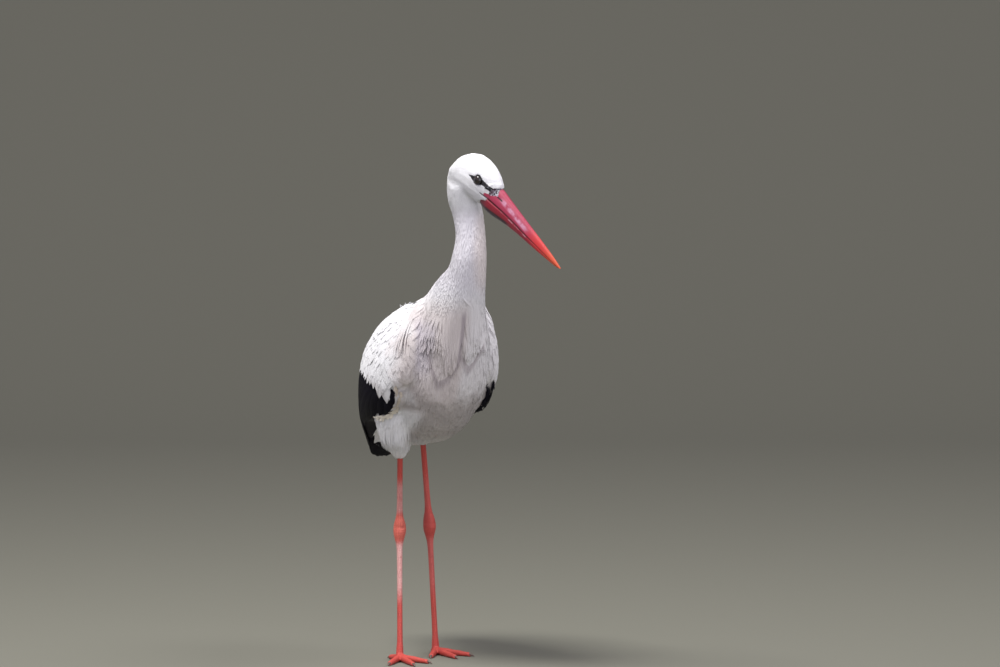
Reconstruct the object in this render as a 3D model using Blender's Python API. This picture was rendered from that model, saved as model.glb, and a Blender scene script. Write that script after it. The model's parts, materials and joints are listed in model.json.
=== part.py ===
"""White stork standing in a meadow stance: a still, life-size model.

The bird faces -Y, its own left is +X, and it stands on the floor z = 0.
Lengths are metres.  Bodies are lofts through a few named stations, cut apart
by thin gaps, and the whole bird is finally set over the centre of its box.
"""
import math
from collections import namedtuple

import bmesh
import bpy
from mathutils import Matrix, Vector

# ---------------------------------------------------------------- dimensions
GAP = 0.0003                # clearance between two touching nodes
CUT = 0.0004                # how far a cutter is grown, so that facets clear GAP

BILL_BASE = Vector((0.0153, -0.3044, 0.7530))     # middle of the bill's base
BILL_AIM = Vector((0.3879, -0.7166, -0.5784)).normalized()
HEAD_UP = Vector((0.2750, -0.5079, 0.8160)).normalized()
EYE_RADIUS = 0.0080
EYE_BACK = 0.0280           # eye's centre behind the bill base
EYE_RISE = 0.0165           # and above the bill's axis
EYE_SIDE = 0.0161           # and out from the middle of the head

HOCK = {"right": Vector((-0.0313, -0.008, 0.210)), "left": Vector((0.0358, 0.041, 0.2085))}
ANKLE = {"right": Vector((-0.0506, -0.063, 0.005)), "left": Vector((0.0340, 0.006, 0.005))}
SHANK_TOP = {"right": Vector((-0.0391, -0.0318, 0.317)), "left": Vector((0.0229, 0.0346, 0.337))}
THIGH_LEAN = {"right": Vector((-0.0155, -0.016, 0.0)), "left": Vector((0.0215, -0.032, 0.0))}

# name: angle outward from straight ahead (degrees), toe length, phalanges shown
TOES = {
    "inner": (-27.0, 0.062, 2),
    "middle": (4.0, 0.079, 3),
    "outer": (34.0, 0.068, 3),
    "hind": (168.0, 0.030, 1),
}
CLAW_LENGTH = 0.0115
CLAW_SET_IN = 0.0045        # how much of a claw is sunk in the toe's end

# u, v: the two ends of a section in the profile plane; half: half width;
# side: sideways shift of the section; wide: where it is widest, 0 at end 1
Station = namedtuple("Station", "u1 v1 u2 v2 half side wide", defaults=(0.0, 0.5))

# Neck and trunk in (y, z): end 1 is the back, end 2 the throat, breast or belly.
NECK_TOP = [
    Station(-0.2250, 0.782, -0.2740, 0.766, 0.0235, -0.0145),
    Station(-0.2160, 0.752, -0.2690, 0.742, 0.0250, -0.0095),
    Station(-0.2200, 0.724, -0.2700, 0.720, 0.0240, -0.0030),
    Station(-0.2295, 0.692, -0.2760, 0.688, 0.0232, -0.0012),
    Station(-0.2255, 0.664, -0.2790, 0.655, 0.0266, -0.0032),
]
NECK_BASE = [
    Station(-0.2125, 0.645, -0.2700, 0.612, 0.0297, -0.0036),
    Station(-0.1850, 0.630, -0.2570, 0.572, 0.0362, -0.0050),
    Station(-0.1540, 0.6125, -0.2420, 0.530, 0.0450, -0.0040, 0.52),
]
TRUNK = [
    Station(-0.1170, 0.586, -0.2200, 0.476, 0.0575, 0.0, 0.50),
    Station(-0.0660, 0.563, -0.1900, 0.422, 0.0695, 0.0, 0.48),
    Station(-0.0160, 0.542, -0.1400, 0.375, 0.0735, 0.0, 0.48),
    Station(0.0300, 0.518, -0.0800, 0.349, 0.0700, 0.0, 0.54),
    Station(0.0680, 0.478, -0.0200, 0.343, 0.0610, 0.0, 0.60),
    Station(0.0950, 0.443, 0.0400, 0.343, 0.0430, 0.0, 0.58),
    Station(0.1120, 0.410, 0.0800, 0.342, 0.0270),
    Station(0.1200, 0.385, 0.1050, 0.350, 0.0160),
]
# The outline over the folded wings, which stand a little proud of the trunk.
WINGED = [
    Station(-0.1650, 0.612, -0.2400, 0.548, 0.0430, 0.0, 0.50),
    Station(-0.1400, 0.602, -0.2280, 0.510, 0.0570, 0.0, 0.45),
    Station(-0.0980, 0.584, -0.2020, 0.456, 0.0780, 0.0, 0.50),
    Station(-0.0500, 0.573, -0.1640, 0.404, 0.0950, 0.0, 0.53),
    Station(0.0000, 0.558, -0.1080, 0.362, 0.1000, 0.0, 0.56),
    Station(0.0480, 0.537, -0.0500, 0.340, 0.0950, 0.0, 0.57),
    Station(0.0930, 0.504, 0.0200, 0.328, 0.0785, 0.0, 0.58),
    Station(0.1260, 0.464, 0.0850, 0.316, 0.0580, 0.0, 0.60),
    Station(0.1480, 0.432, 0.1260, 0.308, 0.0410, 0.0, 0.58),
    Station(0.1620, 0.394, 0.1520, 0.304, 0.0290, 0.0, 0.56),
    Station(0.1690, 0.355, 0.1660, 0.302, 0.0180, 0.0, 0.56),
]
# Side outlines (y, z) of the folded wing: white coverts above, black flight
# feathers below, sharing the scalloped line from front low to rear high.
WING_LINE = [(-0.132, 0.444), (-0.118, 0.428), (-0.103, 0.414), (-0.090, 0.428),
             (-0.060, 0.443), (-0.016, 0.451), (0.050, 0.461), (0.115, 0.475), (0.200, 0.497)]
COVERT_RIM = [(0.200, 0.560), (0.080, 0.620), (-0.040, 0.660), (-0.135, 0.640),
              (-0.168, 0.575), (-0.176, 0.520), (-0.168, 0.475), (-0.148, 0.450)]
FLIGHT_RIM = [(0.215, 0.400), (0.205, 0.296), (0.165, 0.300), (0.135, 0.322), (0.104, 0.346),
              (0.078, 0.366), (0.030, 0.372), (-0.055, 0.389), (-0.083, 0.396), (-0.101, 0.404),
              (-0.115, 0.415), (-0.126, 0.428)]
WING_PARTING = [(-0.180, 0.046), (-0.110, 0.040), (-0.040, 0.020), (0.010, 0.0006), (0.220, 0.0006)]

TAIL = [
    Station(0.0700, 0.400, 0.0600, 0.350, 0.0210),
    Station(0.1050, 0.366, 0.0950, 0.334, 0.0260),
    Station(0.1350, 0.340, 0.1280, 0.318, 0.0260),
    Station(0.1580, 0.3180, 0.1550, 0.3055, 0.0230),
    Station(0.1660, 0.3090, 0.1640, 0.3020, 0.0180),
]

# Head in (ahead of the bill base, above the bill's axis): end 1 is the crown.
HEAD = [
    Station(0.0130, 0.0230, -0.0070, -0.0195, 0.0124),
    Station(0.0040, 0.0308, -0.0140, -0.0212, 0.0154),
    Station(-0.0070, 0.0370, -0.0215, -0.0227, 0.0184),
    Station(-0.0190, 0.0412, -0.0300, -0.0240, 0.0210),
    Station(-0.0310, 0.0434, -0.0380, -0.0260, 0.0228),
    Station(-0.0440, 0.0436, -0.0480, -0.0275, 0.0238),
    Station(-0.0590, 0.0408, -0.0580, -0.0300, 0.0240),
    Station(-0.0725, 0.0326, -0.0680, -0.0320, 0.0232),
    Station(-0.0836, 0.0196, -0.0765, -0.0330, 0.0212),
    Station(-0.0880, 0.0005, -0.0850, -0.0320, 0.0162),
]
BILL_UPPER = [
    Station(-0.0160, 0.0244, -0.0160, 0.0018, 0.0110),
    Station(0.0000, 0.0254, 0.0000, 0.0012, 0.0128),
    Station(0.0120, 0.0248, 0.0120, 0.0016, 0.0122),
    Station(0.0300, 0.0223, 0.0300, 0.0026, 0.0107),
    Station(0.0600, 0.0183, 0.0600, 0.0024, 0.0086),
    Station(0.0900, 0.0146, 0.0900, 0.0012, 0.0069),
    Station(0.1200, 0.0108, 0.1200, 0.0005, 0.0052),
    Station(0.1500, 0.0065, 0.1500, 0.0002, 0.0034),
    Station(0.1735, 0.0018, 0.1735, 0.0000, 0.0014),
]
BILL_LOWER = [
    Station(-0.0130, 0.0014, -0.0130, -0.0198, 0.0106),
    Station(0.0000, 0.0009, 0.0000, -0.0214, 0.0124),
    Station(0.0150, 0.0014, 0.0150, -0.0208, 0.0115),
    Station(0.0400, 0.0023, 0.0400, -0.0156, 0.0093),
    Station(0.0700, 0.0016, 0.0700, -0.0112, 0.0074),
    Station(0.1000, 0.0006, 0.1000, -0.0090, 0.0059),
    Station(0.1300, 0.0001, 0.1300, -0.0066, 0.0042),
    Station(0.1580, -0.0002, 0.1580, -0.0036, 0.0023),
    Station(0.1690, -0.0003, 0.1690, -0.0020, 0.0012),
]

# Leg sections from the top: height share of the bone, half depth, half width.
SHANK_SHAPE = [(0.00, 0.0046, 0.0043), (0.35, 0.0047, 0.0044), (0.70, 0.0050, 0.0047),
               (0.86, 0.0064, 0.0058), (1.00, 0.0100, 0.0086)]
TARSUS_SHAPE = [(0.00, 0.0106, 0.0090), (0.04, 0.0118, 0.0099), (0.09, 0.0098, 0.0086),
                (0.14, 0.0064, 0.0060), (0.22, 0.0050, 0.0045), (0.55, 0.0048, 0.0042),
                (0.88, 0.0050, 0.0044), (1.00, 0.0056, 0.0056)]
# Feathered thigh: height, share of THIGH_LEAN, half depth, half width.  The
# right one hangs lower, because that leg stands further forward.
THIGH_SHAPE = {
    "right": [(0.414, 1.12, 0.046, 0.0245), (0.386, 1.05, 0.044, 0.029), (0.359, 0.72, 0.036, 0.027),
              (0.339, 0.35, 0.024, 0.0185), (0.3255, 0.12, 0.0135, 0.0115), (0.3185, 0.0, 0.0066, 0.0062)],
    "left": [(0.419, 1.12, 0.042, 0.0235), (0.401, 1.05, 0.040, 0.027), (0.379, 0.72, 0.032, 0.025),
             (0.361, 0.35, 0.021, 0.0170), (0.347, 0.12, 0.0120, 0.0105), (0.3385, 0.0, 0.0066, 0.0062)],
}

COLOURS = {
    "white_feather": ((0.80, 0.80, 0.78), 0.75),
    "breast_feather": ((0.66, 0.63, 0.59), 0.80),
    "neck_feather": ((0.72, 0.70, 0.71), 0.78),
    "black_feather": ((0.018, 0.018, 0.022), 0.50),
    "bill_red": ((0.55, 0.07, 0.05), 0.38),
    "leg_red": ((0.50, 0.10, 0.09), 0.55),
    "claw_horn": ((0.12, 0.09, 0.08), 0.45),
    "eye_brown": ((0.02, 0.012, 0.010), 0.08),
}


# ------------------------------------------------------------------- helpers
def clear_scene():
    for thing in list(bpy.data.objects):
        bpy.data.objects.remove(thing, do_unlink=True)


def new_collection(name, hidden=False):
    group = bpy.data.collections.new(name)
    bpy.context.scene.collection.children.link(group)
    group.hide_render = hidden
    return group


def material(name):
    made = bpy.data.materials.get(name)
    if made:
        return made
    colour, roughness = COLOURS[name]
    made = bpy.data.materials.new(name)
    made.use_nodes = True
    made.diffuse_color = (*colour, 1.0)
    surface = made.node_tree.nodes["Principled BSDF"]
    surface.inputs["Base Color"].default_value = (*colour, 1.0)
    surface.inputs["Roughness"].default_value = roughness
    surface.inputs["Metallic"].default_value = 0.0
    return made


def mesh_object(name, build, group, finish):
    """Make an object from a bmesh, with outward faces and smooth shading."""
    bmesh.ops.recalc_face_normals(build, faces=build.faces)
    mesh = bpy.data.meshes.new(name)
    build.to_mesh(mesh)
    build.free()
    mesh.shade_smooth()
    thing = bpy.data.objects.new(name, mesh)
    group.objects.link(thing)
    if finish:
        mesh.materials.append(material(finish))
    else:
        thing.hide_render = True
        thing.display_type = "WIRE"
    return thing


def smooth_rows(rows, steps):
    """Catmull-Rom rows through the given rows, with `steps` to each span."""
    last = len(rows) - 1
    result = []
    for i in range(last):
        around = [rows[min(max(i + k, 0), last)] for k in (-1, 0, 1, 2)]
        for j in range(steps):
            t = j / steps
            weights = (-0.5 * t + t * t - 0.5 * t ** 3, 1 - 2.5 * t * t + 1.5 * t ** 3,
                       0.5 * t + 2 * t * t - 1.5 * t ** 3, -0.5 * t * t + 0.5 * t ** 3)
            result.append([sum(w * r[c] for w, r in zip(weights, around)) for c in range(len(rows[0]))])
    result.append(list(rows[-1]))
    return result


def section(row, sides, power, plane):
    """One closed section: a superellipse between the two ends of a station."""
    row = Station(*row)
    end_1, end_2 = Vector((row.u1, row.v1)), Vector((row.u2, row.v2))
    middle = end_1.lerp(end_2, row.wide)
    points = []
    for k in range(sides):
        angle = 2 * math.pi * k / sides
        along, across = math.cos(angle), math.sin(angle)
        along = math.copysign(abs(along) ** (2 / power), along)
        across = math.copysign(abs(across) ** (2 / power), across)
        reach = (end_1 - middle) * along if along > 0 else (middle - end_2) * along
        at = middle + reach
        points.append(plane @ Vector((at.x, at.y, row.side + row.half * across)))
    return points


def skin_sections(name, sections, group, finish):
    """Close a row of sections into one body with a fan at each end."""
    build = bmesh.new()
    loops = [[build.verts.new(p) for p in points] for points in sections]
    sides = len(loops[0])
    for near, far in zip(loops, loops[1:]):
        for k in range(sides):
            m = (k + 1) % sides
            build.faces.new((near[k], near[m], far[m], far[k]))
    for loop in (loops[0], loops[-1]):
        tip = build.verts.new(sum((v.co for v in loop), Vector()) / sides)
        for k in range(sides):
            build.faces.new((loop[k], loop[(k + 1) % sides], tip))
    return mesh_object(name, build, group, finish)


def profile_plane(origin, u_axis, v_axis):
    """Matrix from (u, v, sideways) to the world."""
    side = v_axis.cross(u_axis)
    turn = Matrix((u_axis, v_axis, side)).transposed()
    return Matrix.Translation(origin) @ turn.to_4x4()


BODY_PLANE = Matrix(((0, 0, 1, 0), (1, 0, 0, 0), (0, 1, 0, 0), (0, 0, 0, 1)))
HEAD_PLANE = profile_plane(BILL_BASE, BILL_AIM, HEAD_UP)


def loft(name, rows, plane, group, finish, steps=2, sides=24, power=2.1):
    sections = [section(row, sides, power, plane) for row in smooth_rows(rows, steps)]
    return skin_sections(name, sections, group, finish)


def grown(thing, amount, group):
    """A copy with its faces moved outward, used as a cutter."""
    build = bmesh.new()
    build.from_mesh(thing.data)
    build.normal_update()
    moved = [v.co + v.normal * amount * min(v.calc_shell_factor(), 1.6) for v in build.verts]
    for vertex, place in zip(build.verts, moved):
        vertex.co = place
    return mesh_object(thing.name + "_grown", build, group, None)


def keep_largest(build):
    """Drop the slivers that a cut leaves beside the body."""
    islands, seen = [], set()
    for seed in build.verts:
        if seed in seen:
            continue
        island, queue = [], [seed]
        seen.add(seed)
        while queue:
            vertex = queue.pop()
            island.append(vertex)
            for edge in vertex.link_edges:
                other = edge.other_vert(vertex)
                if other not in seen:
                    seen.add(other)
                    queue.append(other)
        islands.append(island)
    islands.sort(key=len)
    for island in islands[:-1]:
        bmesh.ops.delete(build, geom=island, context="VERTS")


def boolean(thing, others, operation="DIFFERENCE"):
    for other in others:
        step = thing.modifiers.new(operation.lower(), "BOOLEAN")
        step.operation = operation
        step.object = other
        step.solver = "EXACT"
    view = bpy.context.evaluated_depsgraph_get()
    result = bpy.data.meshes.new_from_object(thing.evaluated_get(view))
    thing.modifiers.clear()
    build = bmesh.new()
    build.from_mesh(result)
    bmesh.ops.remove_doubles(build, verts=build.verts, dist=0.00002)
    keep_largest(build)
    build.to_mesh(thing.data)
    build.free()
    bpy.data.meshes.remove(result)
    thing.data.shade_smooth()


def mirrored(thing, name, group):
    build = bmesh.new()
    build.from_mesh(thing.data)
    for vertex in build.verts:
        vertex.co.x = -vertex.co.x
    finish = thing.data.materials[0].name if thing.data.materials else None
    return mesh_object(name, build, group, finish)


# --------------------------------------------------------------------- parts
def sliced_body(group):
    """Neck and trunk from one run of sections, parted by thin gaps."""
    stations = NECK_TOP + NECK_BASE + TRUNK
    steps = 2
    rows = smooth_rows(stations, steps)
    sections = [section(row, 24, 2.15, BODY_PLANE) for row in rows]
    cuts = [0, (len(NECK_TOP) - 1) * steps, (len(NECK_TOP) + len(NECK_BASE) - 1) * steps, len(sections) - 1]
    names = ["neck_upper", "neck_lower", "trunk"]
    finishes = ["neck_feather", "breast_feather", "white_feather"]
    made = {}
    for name, finish, first, last in zip(names, finishes, cuts, cuts[1:]):
        body = [list(points) for points in sections[first:last + 1]]
        if first > 0:
            closest = min((b - a).length for a, b in zip(body[0], body[1]))
            share = GAP / closest
            body[0] = [a.lerp(b, share) for a, b in zip(body[0], body[1])]
        made[name] = skin_sections(name, body, group, finish)
    return made


def wing_block(name, outline, group):
    """A slab with the wing's side outline; its inner face follows the parting."""
    build = bmesh.new()
    inner, outer = [], []
    for y, z in outline:
        start = WING_PARTING[-1][1]
        for (y1, x1), (y2, x2) in zip(WING_PARTING, WING_PARTING[1:]):
            if y1 <= y <= y2:
                start = x1 + (x2 - x1) * (y - y1) / (y2 - y1)
        inner.append(build.verts.new((start, y, z)))
        outer.append(build.verts.new((0.16, y, z)))
    build.faces.new(inner)
    build.faces.new(outer)
    for k in range(len(inner)):
        m = (k + 1) % len(inner)
        build.faces.new((inner[k], inner[m], outer[m], outer[k]))
    return mesh_object(name, build, group, None)


def wings(group, tools, cutters):
    """Folded wings: the winged outline cut to the wing, less what lies inside."""
    line = smooth_rows(WING_LINE, 3)
    lowered = [(y, z - GAP * 1.5) for y, z in line]
    covert_outline = line + smooth_rows(COVERT_RIM, 2)
    flight_outline = lowered + smooth_rows(FLIGHT_RIM, 2)
    for part, outline, finish in (("wing", covert_outline, "white_feather"),
                                  ("flight_feathers", flight_outline, "black_feather")):
        left = loft(part + "_left", WINGED, BODY_PLANE, group, finish, steps=2, sides=20, power=2.0)
        boolean(left, [wing_block(part + "_block", outline, tools)], "INTERSECT")
        right = mirrored(left, part + "_right", group)
        for wing, side in ((left, "left"), (right, "right")):
            boolean(wing, [cutters["trunk"], cutters["tail"], cutters[side]])


def neck_and_head(group, tools, body):
    """Head with the bill's root and the eye sockets cut in, and the neck under it."""
    head = loft("head", HEAD, HEAD_PLANE, group, "white_feather", steps=1, sides=20, power=2.1)
    upper = loft("bill_upper", BILL_UPPER, HEAD_PLANE, group, "bill_red", steps=1, sides=16, power=2.3)
    lower = loft("bill_lower", BILL_LOWER, HEAD_PLANE, group, "bill_red", steps=1, sides=16, power=2.3)
    boolean(body["neck_upper"], [grown(head, CUT, tools)])
    sockets = []
    for name, way in (("eye_right", -1), ("eye_left", 1)):
        build = bmesh.new()
        bmesh.ops.create_uvsphere(build, u_segments=14, v_segments=8, radius=EYE_RADIUS)
        place = HEAD_PLANE @ Vector((-EYE_BACK, EYE_RISE, way * EYE_SIDE))
        bmesh.ops.translate(build, verts=build.verts, vec=place)
        eye = mesh_object(name, build, group, "eye_brown")
        sockets.append(grown(eye, CUT, tools))
    boolean(head, sockets + [grown(upper, CUT, tools), grown(lower, CUT, tools)])


def thigh(side, group):
    """Feathered thigh, from inside the flank down to the bare shank."""
    top, lean = SHANK_TOP[side], THIGH_LEAN[side]
    sections = []
    for height, share, deep, wide in THIGH_SHAPE[side]:
        middle = Vector((top.x + lean.x * share, top.y + lean.y * share, height))
        sections.append(level_ring(middle, wide, deep, 18))
    return skin_sections("thigh_" + side, sections, group, "white_feather")


def level_ring(middle, wide, deep, sides):
    turns = [2 * math.pi * k / sides for k in range(sides)]
    return [middle + Vector((wide * math.cos(a), deep * math.sin(a), 0.0)) for a in turns]


def bone(name, top, foot, shape, group):
    """A bare leg segment of level sections, short of its ends by half the gap."""
    start = top + (foot - top).normalized() * GAP
    sections = [level_ring(start.lerp(foot, share), wide, deep, 12) for share, deep, wide in shape]
    return skin_sections(name, sections, group, "leg_red")


def toe_plane(side, angle):
    outward = 1 if side == "left" else -1
    turn = math.radians(angle)
    aim = Vector((outward * math.sin(turn), -math.cos(turn), 0.0))
    return profile_plane(ANKLE[side], aim, Vector((0, 0, 1)))


def toe(name, plane, length, phalanges, tools):
    """A toe with a pad under each knuckle; its sole dips below the floor to be cut flat."""
    rows = [Station(-0.004, 0.0125, -0.004, -0.0012, 0.0052)]
    beats = 2 * phalanges
    for i in range(1, beats + 1):
        share = i / beats
        pad = 1.0 if i % 2 == 0 else 0.84
        rows.append(Station(length * share - 0.002, (0.0108 - 0.0036 * share) * (0.93 + 0.07 * pad),
                            length * share - 0.002, -0.0010, (0.0056 - 0.0013 * share) * pad))
    rows.append(Station(length, 0.0052, length, 0.0002, 0.0026))
    sections = [section(row, 7, 2.2, plane) for row in rows]
    return skin_sections(name, sections, tools, None)


def foot(side, group, tools):
    """Four toes joined under the ankle, cut flat on the floor, with their claws."""
    ankle = ANKLE[side]
    core = [level_ring(ankle + Vector((0, 0, z)), wide, deep, 10)
            for z, deep, wide in ((0.0140, 0.0056, 0.0056), (0.0100, 0.0066, 0.0066),
                                  (0.0040, 0.0072, 0.0072), (-0.0010, 0.0066, 0.0066))]
    body = skin_sections("foot_" + side, core, group, "leg_red")
    toes, nail_cutters = [], []
    for finger, (angle, length, phalanges) in TOES.items():
        plane = toe_plane(side, angle)
        toes.append(toe("toe_" + side + "_" + finger, plane, length, phalanges, tools))
        start = length - CLAW_SET_IN
        rows = [Station(start, 0.0058, start, 0.0020, 0.0021),
                Station(start + 0.4 * CLAW_LENGTH, 0.0060, start + 0.4 * CLAW_LENGTH, 0.0014, 0.0024),
                Station(start + 0.75 * CLAW_LENGTH, 0.0042, start + 0.75 * CLAW_LENGTH, 0.0009, 0.0018),
                Station(start + CLAW_LENGTH, 0.0017, start + CLAW_LENGTH, 0.0006, 0.0006)]
        claw = loft("claw_" + side + "_" + finger, rows, plane, group, "claw_horn", steps=1, sides=6)
        nail_cutters.append(grown(claw, CUT, tools))
    boolean(body, toes, "UNION")
    build = bmesh.new()
    bmesh.ops.create_cube(build, size=0.4)
    bmesh.ops.translate(build, verts=build.verts, vec=ankle + Vector((0, 0, -0.2)))
    floor = mesh_object("floor_" + side, build, tools, None)
    boolean(body, [floor] + nail_cutters)


def set_over_box_centre(group):
    """Stand the bird on z = 0 with the origin under the middle of its box."""
    bpy.context.view_layer.update()
    corners = [thing.matrix_world @ v.co for thing in group.objects if thing.type == "MESH"
               for v in thing.data.vertices]
    low = Vector([min(c[i] for c in corners) for i in range(3)])
    high = Vector([max(c[i] for c in corners) for i in range(3)])
    root = bpy.data.objects.new("white_stork_root", None)
    group.objects.link(root)
    for thing in group.objects:
        if thing.type == "MESH":
            thing.parent = root
    root.location = (-(low.x + high.x) / 2, -(low.y + high.y) / 2, -low.z)


def main():
    clear_scene()
    group = new_collection("white_stork")
    tools = new_collection("white_stork_cutters", hidden=True)
    body = sliced_body(group)
    neck_and_head(group, tools, body)
    tail = loft("tail", TAIL, BODY_PLANE, group, "white_feather", steps=2, sides=12, power=2.4)
    cutters = {"trunk": grown(body["trunk"], CUT, tools), "tail": grown(tail, 2 * CUT, tools)}
    boolean(tail, [cutters["trunk"]])
    for side in ("right", "left"):
        feathered = thigh(side, group)
        cutters[side] = grown(feathered, 1.5 * CUT, tools)
        boolean(feathered, [cutters["trunk"], cutters["tail"]])
        bone("shank_" + side, SHANK_TOP[side], HOCK[side] + Vector((0, 0, 0.0115)), SHANK_SHAPE, group)
        bone("tarsus_" + side, HOCK[side] + Vector((0, 0, 0.0115)), ANKLE[side] + Vector((0, 0, 0.0143)),
             TARSUS_SHAPE, group)
        foot(side, group, tools)
    wings(group, tools, cutters)
    set_over_box_centre(group)
    bpy.context.view_layer.update()


main()
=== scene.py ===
"""White stork, a still life-size model: skin, plumage, bill, eyes and scaled legs.

Lengths are metres.  Anatomy is written in stance coordinates: the floor point
between the feet is the origin, the bird faces -Y and its own left is +X.
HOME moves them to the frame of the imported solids.
"""
import json
import math

import bmesh
import bpy
import numpy as np
from mathutils import Matrix, Vector
from mathutils.bvhtree import BVHTree


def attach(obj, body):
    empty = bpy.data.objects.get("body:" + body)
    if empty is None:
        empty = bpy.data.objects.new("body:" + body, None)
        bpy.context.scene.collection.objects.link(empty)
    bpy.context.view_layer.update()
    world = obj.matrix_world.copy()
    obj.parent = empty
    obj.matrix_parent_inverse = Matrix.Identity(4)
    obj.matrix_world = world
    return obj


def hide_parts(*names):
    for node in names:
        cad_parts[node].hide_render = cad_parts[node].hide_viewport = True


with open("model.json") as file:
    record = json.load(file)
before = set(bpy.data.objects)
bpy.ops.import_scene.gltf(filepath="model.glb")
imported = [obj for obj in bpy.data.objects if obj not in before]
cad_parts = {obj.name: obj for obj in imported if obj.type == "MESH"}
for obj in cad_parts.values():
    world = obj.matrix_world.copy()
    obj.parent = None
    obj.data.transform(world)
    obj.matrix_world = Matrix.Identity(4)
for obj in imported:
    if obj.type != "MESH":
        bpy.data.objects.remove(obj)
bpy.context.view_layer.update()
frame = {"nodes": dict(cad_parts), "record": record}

# ------------------------------------------------------------------ anatomy
ANKLE = {"right": Vector((-0.0506, -0.063, 0.005)), "left": Vector((0.0340, 0.006, 0.005))}
SOLE_LEFT = next(m for m in frame["record"]["mounts"] if m["name"] == "sole_left")
HOME = Vector(SOLE_LEFT["pos_m"]) - ANKLE["left"]

BILL_BASE = Vector((0.0153, -0.3044, 0.7530)) + HOME
BILL_AIM = Vector((0.3879, -0.7166, -0.5784)).normalized()
HEAD_UP = Vector((0.2750, -0.5079, 0.8160)).normalized()
HEAD_LEFT = HEAD_UP.cross(BILL_AIM)
EYE_RADIUS = 0.0080
EYE = (-0.0280, 0.0165)      # ahead of the bill base, above its axis
EYE_SIDE = 0.0161

SIDES = {"left": 1, "right": -1}
HOCK = {"right": Vector((-0.0313, -0.008, 0.210)), "left": Vector((0.0358, 0.041, 0.2085))}
SHANK_TOP = {"right": Vector((-0.0391, -0.0318, 0.317)), "left": Vector((0.0229, 0.0346, 0.337))}
# Each toe's turn from straight ahead in degrees, its length and its count of phalanges.
TOES = {"inner": (-27.0, 0.062, 2), "middle": (4.0, 0.079, 3), "outer": (34.0, 0.068, 3),
        "hind": (168.0, 0.030, 1)}
CLAWS = ["claw_" + side + "_" + finger for side in SIDES for finger in TOES]

# Depth of the coat over the skin, by region.
COAT_BODY = 0.0026
COAT_NECK = 0.0016
COAT_HEAD = 0.0007

# Edge of the even grid each outline is rebuilt on, and how close vertices are joined.
BODY_VOXEL = 0.0034
HEAD_VOXEL = 0.0015
LEG_VOXEL = 0.00115
WELD = 0.000001
CLAW_WELD = 0.00001

FEATHERED = ["neck_lower", "trunk", "tail", "wing_left", "wing_right", "flight_feathers_left",
             "flight_feathers_right", "thigh_left", "thigh_right"]
HEADED = ["head", "neck_upper"]
LEGS = [part + "_" + side for side in SIDES for part in ("shank", "tarsus", "foot")]


# ------------------------------------------------------------ small helpers
def smoothstep(low, high, value):
    t = np.clip((value - low) / (high - low), 0.0, 1.0)
    return t * t * (3 - 2 * t)


def unit(vectors):
    length = np.linalg.norm(vectors, axis=-1, keepdims=True)
    return vectors / np.maximum(length, 1e-9)


def spline(rows, steps):
    """Catmull-Rom rows through the given rows, `steps` to a span."""
    rows = np.asarray(rows, float)
    padded = np.vstack([rows[:1], rows, rows[-1:]])
    result = []
    for i in range(len(rows) - 1):
        a, b, c, d = padded[i:i + 4]
        for j in range(steps):
            t = j / steps
            result.append(0.5 * (2 * b + (c - a) * t + (2 * a - 5 * b + 4 * c - d) * t * t
                                 + (3 * b - a - 3 * c + d) * t ** 3))
    result.append(rows[-1])
    return np.array(result)


def turns_of(count):
    """Angles evenly round a circle."""
    return np.linspace(0, 2 * math.pi, count, endpoint=False)


def head_point(ahead, rise, left=0.0):
    return BILL_BASE + BILL_AIM * ahead + HEAD_UP * rise + HEAD_LEFT * left


def in_head(points):
    """Frame points (N, 3) as (ahead of the bill base, above its axis, to the left)."""
    offset = points - np.array(BILL_BASE)
    return offset @ np.array(BILL_AIM), offset @ np.array(HEAD_UP), offset @ np.array(HEAD_LEFT)


def new_object(name, mesh):
    thing = bpy.data.objects.new(name, mesh)
    bpy.context.scene.collection.objects.link(thing)
    return thing


def mesh_from_arrays(name, verts, faces, smooth=True):
    """A mesh from a vertex array and an (F, 3) or (F, 4) face array, or a list of both."""
    faces = faces if isinstance(faces, list) else [faces]
    mesh = bpy.data.meshes.new(name)
    loops = np.concatenate([f.ravel() for f in faces]).astype(np.int32)
    sizes = np.concatenate([np.full(len(f), f.shape[1]) for f in faces])
    starts = np.concatenate([[0], np.cumsum(sizes)[:-1]]).astype(np.int32)
    mesh.vertices.add(len(verts))
    mesh.vertices.foreach_set("co", np.asarray(verts, np.float32).ravel())
    mesh.loops.add(len(loops))
    mesh.loops.foreach_set("vertex_index", loops)
    mesh.polygons.add(len(sizes))
    mesh.polygons.foreach_set("loop_start", starts)
    mesh.update(calc_edges=True)
    mesh.validate()
    if smooth:
        mesh.shade_smooth()
    return mesh


def mesh_arrays(mesh):
    co = np.empty(len(mesh.vertices) * 3, np.float32)
    mesh.vertices.foreach_get("co", co)
    edges = np.empty(len(mesh.edges) * 2, np.int32)
    mesh.edges.foreach_get("vertices", edges)
    return co.reshape(-1, 3).astype(float), edges.reshape(-1, 2)


def move_to(mesh, co):
    """Give a mesh new vertex places."""
    mesh.vertices.foreach_set("co", co.astype(np.float32).ravel())
    mesh.update()


def vertex_normals(mesh):
    normals = np.empty(len(mesh.vertices) * 3, np.float32)
    mesh.vertices.foreach_get("normal", normals)
    return normals.reshape(-1, 3).astype(float)


def relax(mesh, rounds, strength=0.5):
    """Plain smoothing of a mesh's vertices."""
    co, edges = mesh_arrays(mesh)
    count = np.bincount(edges.ravel(), minlength=len(co)).reshape(-1, 1)
    for _ in range(rounds):
        total = np.zeros_like(co)
        for axis in range(3):
            total[:, axis] = (np.bincount(edges[:, 0], co[edges[:, 1], axis], len(co))
                              + np.bincount(edges[:, 1], co[edges[:, 0], axis], len(co)))
        co += strength * (total / np.maximum(count, 1) - co)
    move_to(mesh, co)


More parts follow.
